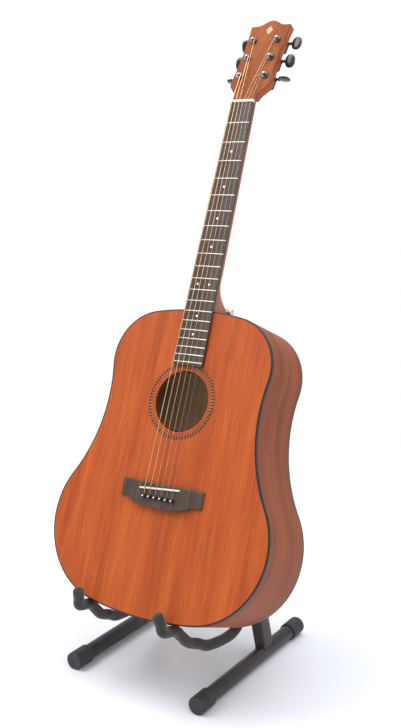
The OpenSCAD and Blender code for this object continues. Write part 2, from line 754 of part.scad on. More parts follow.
module tuner_button(i) {
    s = side_of(i);
    reach = head_side(post_at(i).y) - abs(post_at(i).x) + button_mid;
    color([0.07, 0.07, 0.08]) head_place() at_post(i) translate([0, shaft_offset, shaft_z])
        rotate([button_turns[i], 0, 0]) {
            translate([s < 0 ? -reach : -housing.x / 2 + 1, 0, 0]) rotate([0, 90, 0])
                cylinder(r = shaft_r, h = reach + housing.x / 2 - 1);
            rotate([0, 90, 0]) cylinder(r = worm_r, h = 11, center = true);
            translate([s * (reach - button_size.x / 2 - 0.5), 0, 0]) rotate([0, 90, 0])
                cylinder(r = 3.1, h = 3, center = true);
            translate([s * reach, 0, 0]) intersection() {
                translate([0, 0, -button_size.z / 2]) linear_extrude(button_size.z) button_plan();
                translate([0, 0, button_size.z / 2 - button_dome]) sphere(r = button_dome);
                translate([0, 0, button_dome - button_size.z / 2]) sphere(r = button_dome);
            }
        }
}

// ---------- strings ----------
function string_z(i) = saddle_lift + string_d[i] / 2;
function saddle_x(i) = pin_x(i) * 0.995;
saddle_bend = 0.12; // keeps the bend clear of the saddle's rounded top
function saddle_point(i) =
    [saddle_x(i), saddle_y + saddle_x(i) * tan(saddle_skew), string_z(i) + saddle_bend];
function nut_point(i) =
    from_neck([(i - 2.5) * nut_gap, nut_y + nut_flat - 0.1,
        board_t + crown_h + string_rise + string_d[i] / 2]);
string_hug = gap + post_r;
string_down = 3; // from a post's top to where its string meets it
function post_point(i) =
    let (p = post_at(i), r = string_hug + string_d[i] / 2)
    from_head([p.x - side_of(i) * r, p.y, post_top - string_down]);
hole_point_y = pin_y + 1.8;
function string_points(i) = [
    [pin_x(i), hole_point_y, bridge_h - 13], [pin_x(i), hole_point_y, bridge_h + 0.9],
    saddle_point(i), nut_point(i), post_point(i)];
// Straight channels round the strings on both sides of the saddle
module saddle_grooves() {
    for (i = [0 : 5]) let (p = string_points(i)) for (k = [1, 2])
        bar(p[k], p[k + 1], string_d[i] + 2 * string_fit, $fn = 24);
}
wraps = 1;
wrap_steps = 16;
// The string's turns down its post, from the place where it meets it
function wrap_points(i) =
    let (p = post_at(i), d = string_d[i], r = string_hug + d / 2)
    [for (k = [1 : wraps * wrap_steps]) let (a = 360 * k / wrap_steps)
        from_head([p.x - side_of(i) * r * cos(a), p.y + r * sin(a),
            post_top - string_down - 1.1 * d * k / wrap_steps])];
module string(i) sweep(concat(string_points(i), wrap_points(i)), string_d[i] / 2, sides = 8);
module strings_wound() {
    color([0.8, 0.5, 0.25]) for (i = [0 : 3]) string(i);
}
module strings_plain() {
    color([0.8, 0.8, 0.8]) for (i = [4, 5]) string(i);
}

// ---------- strap button at the heel ----------
strap_y = 12; // up the neck from the body's edge
strap_deep = 58; // below the fretboard
strap_a = asin(pow(strap_deep / neck_back(strap_y), 1 / 0.8));
module strap_place() neck_place() translate([neck_half(strap_y, strap_a) - 1, strap_y, -strap_deep])
    rotate([0, 82, 0]) children();
module strap_button_hole(r) {
    strap_place() {
        translate([0, 0, -10]) cylinder(r = r, h = 20);
        cylinder(r = 7, h = 20);
    }
}
module strap_button() {
    color([0.8, 0.8, 0.82]) strap_place() {
        strap_knob(12);
        translate([0, 0, -9.5]) cylinder(r = button_shank_r - fit, h = 10);
    }
}

// ---------- stand ----------
sole = 0.4; // depth of the flat under each foot cap
tube_z = cap_d / 2 - sole;
leg_h = hinge_z - tube_z;
hinge_y = upright_y + leg_h * tan(leg_back);
spread = atan((foot_x - hinge_x) / (leg_h / cos(leg_back)));
// Plane of the legs: x to the right, y square to the legs, z up them
module leg_plane() translate([0, hinge_y, hinge_z]) rotate([-leg_back, 0, 0]) children();
// Frame of the right upright: origin at its hinge bolt, z up the upright
module upright_place() leg_plane() translate([hinge_x, 0, 0]) rotate([0, -spread, 0]) children();
upright_len = leg_h / cos(leg_back) / cos(spread);
plate_t = 3;
plate_gap = 0.5;
bracket_half = 29;
bracket_drop = 17;
bracket_top = 15;
module hinge_bracket() {
    depth = upright_d / 2 + plate_gap;
    color([0.08, 0.08, 0.08]) leg_plane() difference() {
        translate([-bracket_half, -depth - plate_t, -bracket_drop])
            cube([2 * bracket_half, 2 * (depth + plate_t), bracket_drop + bracket_top]);
        translate([-far / 2, -depth, -far]) cube([far, 2 * depth, far + bracket_top - plate_t]);
        for (s = [-1, 1]) translate([s * hinge_x, far / 2, 0]) rotate([90, 0, 0])
            cylinder(d = bolt_d + 2 * fit, h = far);
    }
}
module hinge_bolts() {
    grip = upright_d / 2 + plate_gap + plate_t;
    color([0.3, 0.3, 0.32]) leg_plane() for (s = [-1, 1]) translate([s * hinge_x, 0, 0]) {
        translate([0, grip + 8, 0]) rotate([90, 0, 0]) cylinder(d = bolt_d, h = 2 * grip + 8);
        translate([0, -grip, 0]) rotate([90, 0, 0]) cylinder(d = 2 * bolt_d, h = 4);
        translate([0, grip, 0]) rotate([-90, 0, 0]) difference() {
            cylinder(d = 1.9 * bolt_d, h = 6, $fn = 6);
            translate([0, 0, -1]) cylinder(d = bolt_d + 2 * fit, h = 9);
        }
    }
}
module foot_axis() translate([foot_x, 0, tube_z]) rotate([90, 0, 0]) children();
module upright_outline(wall) {
    half = upright_w / 2 - wall;
    solid_top = wall > 0 ? bracket_drop - plate_t : 0; // the hollow stops below the bolt
    translate([-half, -upright_len - tube_d]) square([2 * half, upright_len + tube_d - solid_top]);
    if (wall == 0) circle(r = half);
}
module upright_solid(wall) {
    rotate([90, 0, 0]) translate([0, 0, -upright_d / 2 + wall])
        linear_extrude(upright_d - 2 * wall) upright_outline(wall);
}
// Plates screwed to the upright's front face: middle's height above the floor, length and
// distance between the two screws
arm_plate = [150, 46, 32];
rest_plate = [352, 30, 18];
plate_w = 18;
plate_thick = 4;
plate_screw_r = 2;
module plate_spot(plate) {
    down = (hinge_z - plate[0]) / cos(leg_back) / cos(spread);
    upright_place() translate([0, -upright_d / 2, -down]) children();
}
module plate_screw_spots(plate) {
    for (s = [-1, 1])
        plate_spot(plate) translate([0, 0, s * plate[2] / 2]) rotate([90, 0, 0]) children();
}
module upright_tube() {
    difference() {
        upright_place() upright_solid(0);
        upright_place() upright_solid(tube_wall);
        foot_axis() cylinder(d = tube_d - tube_wall, h = foot_len, center = true);
        translate([-far / 2, -far / 2, tube_z - far]) cube([far, far, far]);
        upright_place() rotate([90, 0, 0]) cylinder(d = bolt_d + 2 * fit, h = far, center = true);
        for (plate = [arm_plate, rest_plate]) plate_screw_spots(plate)
            translate([0, 0, -6]) cylinder(r = plate_screw_r, h = 8);
    }
}
module leg() {
    color([0.08, 0.07, 0.07]) {
        upright_tube();
        foot_axis() difference() {
            cylinder(d = tube_d, h = foot_len, center = true);
            cylinder(d = tube_d - 2 * tube_wall, h = foot_len + 2, center = true);
        }
    }
}
cap_end = 3; // thickness of a cap's closed end
module foot_caps() {
    color([0.05, 0.05, 0.05]) for (s = [-1, 1]) difference() {
        translate([foot_x, s * (foot_len / 2 + cap_end - cap_len / 2), tube_z]) rotate([90, 0, 0])
            cylinder(d = cap_d, h = cap_len, center = true);
        foot_axis() cylinder(d = tube_d, h = foot_len, center = true);
        translate([0, -far / 2, -far]) cube(far);
    }
}

// Cradle rods: each rises in front of the guitar's face, runs under the body and goes up
// behind it to a plate on its upright
function tail_point(x, d) = to_row([x - guitar_x, tail_edge(x - guitar_x), -d]);
hook_x = 82;
contact = 20; // depth behind the face where the tail rests on the foam
rest_low = min(tail_point(hook_x, contact).z, tail_point(-hook_x, contact).z);
rest_y = tail_point(hook_x, contact).y;
under = foam_d / 2 / cos(lean) + 2 * gap;
// Centre of a cradle rod at depth d behind the face, dropped below the tail
function under_tail(d, drop) = [hook_x + d * 0.1, rest_y + (d - contact) * cos(lean),
    rest_low - (d - contact) * sin(lean) - under - drop];
// Middle of an upright's front face at height z
function front_at(z) = [foot_x - (z - tube_z) * tan(spread) / cos(leg_back),
    upright_y - upright_d / 2 / cos(leg_back) + (z - tube_z) * tan(leg_back), z];
pin_drop = 18; // lets the rods pass under the end pin as the legs fold
plate_front = [0, -plate_thick, 0];
arm_end = front_at(arm_plate[0]) + plate_front;
arm_path = spline([
    [hook_x - 4, guitar_y - 16, guitar_z + 20],
    [hook_x - 2, guitar_y - 13, guitar_z + 10],
    [hook_x, guitar_y - 9, guitar_z - 4],
    under_tail(20, 0), under_tail(34, 7), under_tail(54, pin_drop), under_tail(80, pin_drop + 2),
    under_tail(110, pin_drop + 4), [hook_x + 14, guitar_y + 150, guitar_z - 78],
    [hook_x + 17, guitar_y + 176, guitar_z - 72], [hook_x + 18, guitar_y + 192, guitar_z - 54],
    [hook_x + 17, guitar_y + 198, guitar_z - 32], [hook_x + 12, arm_end.y - 26, guitar_z - 8],
    arm_end - [-3, 11, 3], arm_end + [0, 1, 0]], 3);
foam_stop = 5; // rings of the rod's path left bare at its plate
foam_over = 5; // foam beyond the rod's end
module rod_and_plate(path, plate) {
    color([0.1, 0.1, 0.1]) {
        sweep(path, rod_d / 2);
        difference() {
            plate_spot(plate) translate([-plate_w / 2, -plate_thick, -plate[1] / 2])
                cube([plate_w, plate_thick, plate[1]]);
            plate_screw_spots(plate) translate([0, 0, -1])
                cylinder(r = plate_screw_r + fit, h = plate_thick + 2);
        }
    }
}
// Foam tube over a rod, running on past its free end
module foam_tube(path, d) {
    body = [for (i = [0 : len(path) - 1 - foam_stop]) path[i]];
    full = concat([path[0] + foam_over * unit(path[0] - path[1])], body);
    color([0.16, 0.16, 0.16]) sweep(full, d / 2, rod_d / 2 + fit);
}
module cradle_rod() rod_and_plate(arm_path, arm_plate);
module cradle_foam() foam_tube(arm_path, foam_d);

// Back rests: each rod comes forward from its upright and turns outwards behind the guitar
back_normal = turn_y(turn_x([0, sin(taper), -cos(taper)], 90 - lean), -roll);
back_point = to_row([0, 0, -tail_depth]);
function back_y(x, z) = back_point.y
    - (back_normal.x * (x - back_point.x) + back_normal.z * (z - back_point.z)) / back_normal.y;
rest_reach = 66; // how far a rest runs outwards from its upright
rest_z = rest_plate[0];
rest_start = front_at(rest_z) + plate_front;
rest_line_y = back_y(-rest_start.x - rest_reach, rest_z) + (rest_foam_d / 2 + gap) / back_normal.y;
rest_path = spline([
    for (x = [rest_reach : -12 : 17]) [rest_start.x + x, rest_line_y, rest_z],
    [rest_start.x + 7, rest_line_y + 1.5, rest_z], [rest_start.x + 1, rest_line_y + 7, rest_z],
    rest_start + [0, 1, 0]], 2);
module rest_rod() rod_and_plate(rest_path, rest_plate);
module rest_foam() foam_tube(rest_path, rest_foam_d);
module leg_screws() {
    color([0.25, 0.25, 0.27]) for (plate = [arm_plate, rest_plate]) plate_screw_spots(plate) {
        translate([0, 0, -5]) cylinder(r = plate_screw_r - fit, h = plate_thick + 5);
        translate([0, 0, plate_thick]) cylinder(r1 = 3.8, r2 = 2.6, h = 2);
    }
}

guitar_place() soundboard();
guitar_place() rosette();
guitar_place() back_plate();
guitar_place() side(false);  // side_bass
guitar_place() side(true);  // side_treble
guitar_place() binding_top();
guitar_place() binding_back();
guitar_place() linings();
guitar_place() end_blocks();
guitar_place() soundboard_braces();
guitar_place() back_braces();
guitar_place() bridge_plate();
guitar_place() bridge();
guitar_place() saddle();
guitar_place() bridge_pins();
guitar_place() end_pin();
guitar_place() strap_button();
guitar_place() neck();
guitar_place() heel_cap();
guitar_place() truss_rod();
guitar_place() fretboard();
guitar_place() frets();
guitar_place() position_dots();
guitar_place() nut();
guitar_place() headstock();
guitar_place() headstock_veneer();
guitar_place() headstock_emblem();
guitar_place() tuner_housings();
guitar_place() tuner_bushings();
guitar_place() tuner_screws();
guitar_place() strings_wound();
guitar_place() strings_plain();
guitar_place() tuner_post(0);  // tuner_post_1
guitar_place() tuner_post(1);  // tuner_post_2
guitar_place() tuner_post(2);  // tuner_post_3
guitar_place() tuner_post(3);  // tuner_post_4
guitar_place() tuner_post(4);  // tuner_post_5
guitar_place() tuner_post(5);  // tuner_post_6
guitar_place() tuner_button(0);  // tuner_button_1
guitar_place() tuner_button(1);  // tuner_button_2
guitar_place() tuner_button(2);  // tuner_button_3
guitar_place() tuner_button(3);  // tuner_button_4
guitar_place() tuner_button(4);  // tuner_button_5
guitar_place() tuner_button(5);  // tuner_button_6
hinge_bracket();
hinge_bolts();
mirror([1, 0, 0]) leg();  // left_leg
leg();  // right_leg
mirror([1, 0, 0]) foot_caps();  // left_foot_caps
foot_caps();  // right_foot_caps
mirror([1, 0, 0]) cradle_rod();  // left_cradle_rod
cradle_rod();  // right_cradle_rod
mirror([1, 0, 0]) cradle_foam();  // left_cradle_foam
cradle_foam();  // right_cradle_foam
mirror([1, 0, 0]) rest_rod();  // left_rest_rod
rest_rod();  // right_rest_rod
mirror([1, 0, 0]) rest_foam();  // left_rest_foam
rest_foam();  // right_rest_foam
mirror([1, 0, 0]) leg_screws();  // left_leg_screws
leg_screws();  // right_leg_screws
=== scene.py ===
import math
import bpy
import bmesh
from mathutils import Euler, Matrix, Vector


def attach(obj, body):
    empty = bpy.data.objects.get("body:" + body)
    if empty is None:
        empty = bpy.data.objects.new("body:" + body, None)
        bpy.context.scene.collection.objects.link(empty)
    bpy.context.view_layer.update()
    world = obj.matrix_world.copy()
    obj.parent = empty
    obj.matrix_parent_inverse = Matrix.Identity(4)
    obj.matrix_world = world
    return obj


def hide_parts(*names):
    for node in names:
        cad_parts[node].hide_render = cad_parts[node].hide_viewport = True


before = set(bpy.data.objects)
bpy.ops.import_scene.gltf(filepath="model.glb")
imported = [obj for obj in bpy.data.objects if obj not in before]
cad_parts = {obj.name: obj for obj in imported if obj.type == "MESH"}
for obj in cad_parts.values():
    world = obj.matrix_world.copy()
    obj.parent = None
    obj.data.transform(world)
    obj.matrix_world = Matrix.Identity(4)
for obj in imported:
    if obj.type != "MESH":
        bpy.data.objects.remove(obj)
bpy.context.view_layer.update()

# Frames. ROW: the row frame in mm. BODY: x right, y up from the tail, z out of the soundboard.
# NECK: origin on the face at the body's edge. HEAD: origin at the nut's back edge on the veneer.
GUITAR_AT, GUITAR_TURN = (0.026, -0.186, 0.145), (math.radians(67), math.radians(-2), 0)
ROW = Matrix.Scale(0.001, 4)
BODY = Matrix.Translation(GUITAR_AT) @ Euler(GUITAR_TURN).to_matrix().to_4x4() @ ROW
BODY_LEN, TAIL_DEPTH, NECK_DEPTH = 496, 125, 105
TAPER = (TAIL_DEPTH - NECK_DEPTH) / BODY_LEN
SCALE_LEN = 648
NUT_Y = SCALE_LEN * (1 - 2 ** (-14 / 12)) - 3.6
NUT_T, NUT_W, BOARD_H, BOARD_FLARE, FRET_R = 5, 43, 5.9, 0.03, 1.1
VENEER, HEAD_BACK = 2, -14
NECK_TILT, HEAD_TILT = math.radians(-0.6), math.radians(-13.5)
NECK = BODY @ Matrix.Translation((0, BODY_LEN, 0)) @ Matrix.Rotation(NECK_TILT, 4, "X")
HEAD = NECK @ Matrix.Translation((0, NUT_Y + NUT_T, VENEER)) @ Matrix.Rotation(HEAD_TILT, 4, "X")


# ---------- mesh helpers ----------
def piece(name, shape, space, body, mats, stands_for=(), sharp=35, mat_of=None):
    """A closed mesh on a body. shape is (points in mm in a frame, faces) and may add the faces' UVs."""
    verts, faces, *uvs = shape
    mesh = bpy.data.meshes.new(name)
    mesh.from_pydata([space @ Vector(v) for v in verts], [], faces)
    if uvs:
        layer = mesh.uv_layers.new(name="along")
        for poly, corners in zip(mesh.polygons, uvs[0]):
            for loop, uv in zip(poly.loop_indices, corners):
                layer.data[loop].uv = uv
    for m in mats:
        mesh.materials.append(m)
    if mat_of:
        for poly, k in zip(mesh.polygons, mat_of):
            poly.material_index = k
    bm = bmesh.new()
    bm.from_mesh(mesh)
    bmesh.ops.remove_doubles(bm, verts=bm.verts, dist=1e-7)
    bmesh.ops.recalc_face_normals(bm, faces=bm.faces)
    bm.to_mesh(mesh)
    bm.free()
    mesh.shade_smooth()
    mesh.set_sharp_from_angle(angle=math.radians(sharp))
    obj = bpy.data.objects.new(name, mesh)
    bpy.context.scene.collection.objects.link(obj)
    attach(obj, body)
    if stands_for:
        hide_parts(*stands_for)
    return obj


class Parts:
    """Collects several closed shapes for one piece."""

    def __init__(self):
        self.verts, self.faces, self.uvs, self.mat_of = [], [], [], []

    def add(self, shape, mat=0, at=None):
        verts, faces, uvs = shape
        n = len(self.verts)
        self.verts += [tuple(at @ Vector(v)) for v in verts] if at else [tuple(v) for v in verts]
        self.faces += [tuple(i + n for i in f) for f in faces]
        self.uvs += uvs
        self.mat_of += [mat] * len(faces)

    def make(self, name, space, body, slot, mats, stands_for=(), sharp=35):
        shape = self.verts, self.faces, self.uvs
        return piece(name, shape, space, body, mats, stands_for, sharp, self.mat_of)


def loft(rings, loop=False):
    """Skin over closed rings of equal count; loop joins the last ring to the first. UVs in metres."""
    n, m = len(rings[0]), len(rings)
    verts = [p for r in rings for p in r]
    along, around = [0.0], [0.0]
    for i in range(m):
        along.append(along[-1] + (Vector(rings[(i + 1) % m][0]) - Vector(rings[i][0])).length / 1000)
    mid = rings[m // 2]
    for k in range(n):
        around.append(around[-1] + (Vector(mid[(k + 1) % n]) - Vector(mid[k])).length / 1000)
    faces, uvs = [], []
    for i in range(m if loop else m - 1):
        for k in range(n):
            a, b = i * n + k, i * n + (k + 1) % n
            c, d = ((i + 1) % m) * n + (k + 1) % n, ((i + 1) % m) * n + k
            faces.append((a, b, c, d))
            uvs.append([(along[i], around[k]), (along[i], around[k + 1]),
                        (along[i + 1], around[k + 1]), (along[i + 1], around[k])])
    if not loop:
        for ring, first in ((list(range(n))[::-1], 0), (list(range(n)), (m - 1) * n)):
            faces.append(tuple(first + k for k in ring))
            uvs.append([(along[-1] if first else 0, around[k]) for k in ring])
    return verts, faces, uvs


def lathe(profile, sides=48):
    """Turned shape about z from (radius, height) pairs; the ends are closed at the axis."""
    rings = [[(max(r, 0.01) * math.cos(2 * math.pi * k / sides),
               max(r, 0.01) * math.sin(2 * math.pi * k / sides), z) for k in range(sides)]
             for r, z in profile]
    return loft(rings)


def round_corner(cx, cy, r, a0, a1, steps=6):
    """Points of an arc, in degrees."""
    return [(cx + r * math.cos(math.radians(a0 + (a1 - a0) * t / steps)),
             cy + r * math.sin(math.radians(a0 + (a1 - a0) * t / steps))) for t in range(steps + 1)]


def tube(path, radius, sides=20, caps=4):
    """Round tube along points, with domed ends. radius is a number or a function of arc length."""
    pts = [Vector(p) for p in path]
    r_of = radius if callable(radius) else (lambda s: radius)
    lengths = [0.0]
    for a, b in zip(pts, pts[1:]):
        lengths.append(lengths[-1] + (b - a).length)
    axis = (pts[1] - pts[0]).normalized()
    across = axis.orthogonal().normalized()
    rings = []
    for i, p in enumerate(pts):
        new = (pts[min(i + 1, len(pts) - 1)] - pts[max(i - 1, 0)]).normalized()
        across = (across - new * across.dot(new)).normalized()
        up = new.cross(across)
        r = r_of(lengths[i])
        dome = []
        if i in (0, len(pts) - 1) and caps:
            for k in range(caps):
                a = math.pi / 2 * (k + 0.35) / (caps + 0.35)
                dome.append((r * math.sin(a), r * 0.45 * math.cos(a)))
        sets = [(r, 0.0)]
        if dome and i == 0:
            sets = [(q, -h) for q, h in dome] + sets
        elif dome:
            sets = sets + [(q, h) for q, h in dome[::-1]]
        for q, h in sets:
            c = p + new * h
            rings.append([tuple(c + q * (math.cos(2 * math.pi * k / sides) * across
                                         + math.sin(2 * math.pi * k / sides) * up))
                          for k in range(sides)])
    return loft(rings)


def slab(outline, low, high, edge, steps=4):
    """Plate over an outline in x, y with its edges rounded. outline(inset) gives the points."""
    turn = [math.pi / 2 * k / steps for k in range(steps + 1)]
    rings = [[(x, y, low + edge * (1 - math.cos(a))) for x, y in outline(edge * (1 - math.sin(a)))]
             for a in turn]
    rings += [[(x, y, high - edge * (1 - math.sin(a))) for x, y in outline(edge * (1 - math.cos(a)))]
              for a in turn]
    return loft(rings)


def rounded_box(w, d, r, steps=4):
    """Outline of a rectangle with rounded corners, as a function of its inset."""
    def outline(inset):
        pts = []
        for sx, sy, a in ((1, 1, 0), (-1, 1, 90), (-1, -1, 180), (1, -1, 270)):
            q = max(r - inset, 0.05)
            pts += round_corner(sx * (w / 2 - inset - q), sy * (d / 2 - inset - q), q, a, a + 90, steps)
        return pts
    return outline


def spline(points, steps, t_end=None):
    """Catmull-Rom curve through the points, up to t_end segments."""
    pts = [Vector(p) for p in points]
    n = len(pts) - 1
    t_end = n if t_end is None else t_end
    out, total = [], int(round(t_end * steps))
    for k in range(total + 1):
        u = t_end * k / total
        i = min(int(u), n - 1)
        t = u - i
        a, b, c, d = pts[max(i - 1, 0)], pts[i], pts[i + 1], pts[min(i + 2, n)]
        out.append(0.5 * (2 * b + (c - a) * t + (2 * a - 5 * b + 4 * c - d) * t * t
                          + (3 * b - a - 3 * c + d) * t ** 3))
    return out


# ---------- material helpers ----------
def linear(code, alpha=1.0):
    """sRGB hex to linear RGBA."""
    parts = [int(code[i:i + 2], 16) / 255 for i in (1, 3, 5)]
    return tuple(c / 12.92 if c <= 0.04045 else ((c + 0.055) / 1.055) ** 2.4 for c in parts) + (alpha,)


def add(tree, kind, links=None, **settings):
    """Adds a node: settings are its properties, links its inputs, as sockets or constants."""
    n = tree.nodes.new(kind)
    for key, value in settings.items():
        setattr(n, key, value)
    for key, value in (links or {}).items():
        if isinstance(value, bpy.types.NodeSocket):
            tree.links.new(value, n.inputs[key])
        else:
            n.inputs[key].default_value = value
    return n


def material(name, **constants):
    m = bpy.data.materials.new(name)
    m.use_nodes = True
    tree = m.node_tree
    shader = tree.nodes["Principled BSDF"]
    for key, value in constants.items():
        shader.inputs[key.replace("_", " ")].default_value = value
    return m, tree, shader


def guitar_mm(tree, stretch=(1, 1, 1)):
    """Coordinates in mm in the guitar's own frame, divided by stretch."""
    source = add(tree, "ShaderNodeTexCoord").outputs["Object"]
    return add(tree, "ShaderNodeMapping", {"Vector": source, "Location": GUITAR_AT, "Rotation": GUITAR_TURN,
                                           "Scale": [0.001 * s for s in stretch]},
               vector_type="TEXTURE").outputs["Vector"]


def row_mm(tree, stretch=(1, 1, 1)):
    """Coordinates in mm in the row frame, divided by stretch."""
    source = add(tree, "ShaderNodeTexCoord").outputs["Object"]
    return add(tree, "ShaderNodeMapping",
               {"Vector": source, "Scale": [1000 / s for s in stretch]}).outputs["Vector"]


def uv_mm(tree, stretch=(1, 1)):
    """The piece's own length (x) and girth (y) in mm, divided by stretch."""
    source = add(tree, "ShaderNodeUVMap", uv_map="along").outputs["UV"]
    return add(tree, "ShaderNodeMapping",
               {"Vector": source, "Scale": (1000 / stretch[0], 1000 / stretch[1], 1)}).outputs["Vector"]


def along_rib_mm(tree, stretch=(1, 1, 1)):
    """As uv_mm, turned so that y runs along the piece's length."""
    source = add(tree, "ShaderNodeUVMap", uv_map="along").outputs["UV"]
    return add(tree, "ShaderNodeMapping",
               {"Vector": source, "Scale": (1000 / stretch[1], 1000 / stretch[0], 1),
                "Rotation": (0, 0, math.radians(90))}).outputs["Vector"]


def noise(tree, vector, detail=2.0, rough=0.5, scale=1.0, distortion=0.0):
    return add(tree, "ShaderNodeTexNoise", {"Vector": vector, "Scale": scale, "Detail": detail,
                                            "Roughness": rough, "Distortion": distortion}).outputs["Fac"]


def ramp(tree, fac, stops):
    n = add(tree, "ShaderNodeValToRGB", {"Fac": fac})
    e = n.color_ramp.elements
    while len(e) < len(stops):
        e.new(0.5)
    for item, (at, colour) in zip(e, stops):
        item.position = at
        item.color = linear(colour) if isinstance(colour, str) else (colour, colour, colour, 1)
    return n.outputs["Color"]


def mix(tree, fac, a, b):
    n = add(tree, "ShaderNodeMix", data_type="RGBA")
    for key, value in (("Factor_Float", fac), ("A_Color", a), ("B_Color", b)):
        socket = next(s for s in n.inputs if s.identifier == key)
        if isinstance(value, bpy.types.NodeSocket):
            tree.links.new(value, socket)
        else:
            socket.default_value = value
    return next(s for s in n.outputs if s.identifier == "Result_Color")


def bump(tree, shader, height, distance, strength=1.0):
    b = add(tree, "ShaderNodeBump", {"Height": height, "Distance": distance, "Strength": strength})
    tree.links.new(b.outputs["Normal"], shader.inputs["Normal"])


def wood(name, coords, figure, shades, pore_colour, rough, sheen_coat=0.0, pore_depth=0.00004, shine=0.5):
    """Straight-grained timber. coords(tree, stretch) runs its y along the grain; figure is the
    stretch of the broad bands, shades the three tones of the ramp."""
    m, tree, shader = material(name, Coat_Weight=sheen_coat, Coat_Roughness=0.3, Specular_IOR_Level=shine)
    broad = noise(tree, coords(tree, figure), 3, 0.55, 1.0, 0.4)
    streaks = noise(tree, coords(tree, (1.3, 90, 4)), 4, 0.65)
    pores = noise(tree, coords(tree, (0.32, 9, 0.6)), 2, 0.6)
    tone = add(tree, "ShaderNodeMath", {0: streaks, 1: 0.55}, operation="MULTIPLY")
    tone = add(tree, "ShaderNodeMath", {0: broad, 1: 0.45, 2: tone.outputs[0]}, operation="MULTIPLY_ADD")
    base = ramp(tree, tone.outputs[0], list(zip((0.36, 0.5, 0.64), shades)))
    open_pore = ramp(tree, pores, [(0.57, 0.0), (0.66, 1.0)])
    soft_pore = add(tree, "ShaderNodeMath", {0: open_pore, 1: 0.55}, operation="MULTIPLY").outputs[0]
    tree.links.new(mix(tree, soft_pore, base, linear(pore_colour)), shader.inputs["Base Color"])
    satin = ramp(tree, streaks, [(0.3, rough - 0.05), (0.7, rough + 0.08)])
    tree.links.new(satin, shader.inputs["Roughness"])
    down = add(tree, "ShaderNodeMath", {0: 1.0, 1: open_pore}, operation="SUBTRACT").outputs[0]
    bump(tree, shader, down, pore_depth, 0.6)
    return m


# ---------- materials ----------
# Mahogany, open-pore satin finish, grain up the body
MAHOGANY = wood("mahogany_satin", guitar_mm, (26, 420, 30), ("#8E3A10", "#AF4D18", "#C46023"),
                "#6E2C0E", 0.45, 0.06, shine=0.3)
# Mahogany of the headstock's face, browner and darker than the body's: the darkening is painted shade for a
# face that tilts up into the top lamp
FACE_WOOD_SHADED = wood("mahogany_face_satin_shaded", guitar_mm, (22, 300, 24), ("#763A16", "#8B4820", "#9E592C"),
                 "#5C2C12", 0.5, 0.0, shine=0.15)
# Mahogany of the ribs, browner and darker than the face: the darkening is painted shade for the sides; grain
# along the rib
RIB_SHADED = wood("mahogany_rib_satin_shaded", along_rib_mm, (22, 420, 30), ("#6E2F12", "#87401B", "#9E5429"), "#54240E",
           0.46, 0.03, shine=0.25)
# Mahogany of the neck, smoother and closed in the pores
NECK_WOOD = wood("mahogany_neck_satin", guitar_mm, (18, 300, 20), ("#7E3A1C", "#9C4D28", "#B5623A"),
                 "#5A2812", 0.38, 0.1, 0.00002, 0.4)
# Rosewood, oiled, matt, with open pores
ROSEWOOD = wood("rosewood_oiled", guitar_mm, (7, 160, 8), ("#2F221B", "#443329", "#5E4A3C"), "#1C1412", 0.5,
                0.0)
# Spruce, planed and left raw, for braces and linings
SPRUCE = wood("spruce_raw", guitar_mm, (9, 300, 9), ("#A98558", "#BE9A6C", "#CDAE82"), "#8A683F", 0.7)


def back_wood():
    """Mahogany back: finished outside, raw and pale on its inner face."""
    m = wood("mahogany_back_satin", guitar_mm, (26, 420, 30), ("#7A3514", "#95481E", "#AC5C2C"), "#5C2810",
             0.45, 0.05, shine=0.35)
    tree = m.node_tree
    shader = tree.nodes["Principled BSDF"]
    part = add(tree, "ShaderNodeSeparateXYZ", {"Vector": guitar_mm(tree)})
    rise = add(tree, "ShaderNodeMath", {0: part.outputs["Y"], 1: -TAPER, 2: part.outputs["Z"]},
               operation="MULTIPLY_ADD")
    inner = add(tree, "ShaderNodeMath", {0: rise.outputs[0], 1: 1.5 - TAIL_DEPTH}, operation="GREATER_THAN")
    figure = noise(tree, guitar_mm(tree, (5, 200, 8)), 4, 0.6)
    raw = ramp(tree, figure, [(0.3, "#D8AC82"), (0.7, "#EFCDA6")])
    finished = shader.inputs["Base Color"].links[0].from_socket
    tree.links.new(mix(tree, inner.outputs[0], finished, raw), shader.inputs["Base Color"])
    return m


def bone():
    """Polished bone."""
    m, tree, shader = material("bone_polished", Roughness=0.28, Subsurface_Weight=0.15,
                               Subsurface_Scale=0.002)
    cloud = noise(tree, guitar_mm(tree, (1.2, 3, 1.2)), 3, 0.6)
    tree.links.new(ramp(tree, cloud, [(0.35, "#D9D0BA"), (0.65, "#EDE7D8")]), shader.inputs["Base Color"])
    bump(tree, shader, cloud, 0.00002, 0.3)
    return m


def moulded(name, colours, rough, grain, depth, coords=row_mm, coat=0.0, metallic=0.0):
    """Moulded, painted or cast surface: two close tones and a fine texture of grain mm."""
    m, tree, shader = material(name, Metallic=metallic, Coat_Weight=coat, Coat_Roughness=0.15)
    fine = noise(tree, coords(tree, (grain, grain, grain)), 3, 0.6)
    wide = noise(tree, coords(tree, (40, 40, 40)), 2, 0.5)
    tree.links.new(ramp(tree, wide, [(0.35, colours[0]), (0.65, colours[1])]), shader.inputs["Base Color"])
    tree.links.new(ramp(tree, fine, [(0.3, rough - 0.05), (0.7, rough + 0.06)]), shader.inputs["Roughness"])
    bump(tree, shader, fine, depth, 0.5)
    return m


# Binding: black celluloid, satin
BINDING = moulded("celluloid_black_satin", ("#120E0D", "#1D1715"), 0.34, 0.8, 0.00001)
# Pins: black plastic, polished
PLASTIC = moulded("plastic_black_polished", ("#0E0D0D", "#171515"), 0.2, 0.6, 0.000005)
# Tuner castings: gloss black electroplate
TUNER_BLACK = moulded("zinc_gloss_black", ("#131112", "#1C191A"), 0.24, 0.7, 0.000006, coat=0.3)
# Stand tubes: satin black powder coat
POWDER = moulded("steel_powder_coat_black", ("#241E1E", "#302828"), 0.36, 0.55, 0.00003)
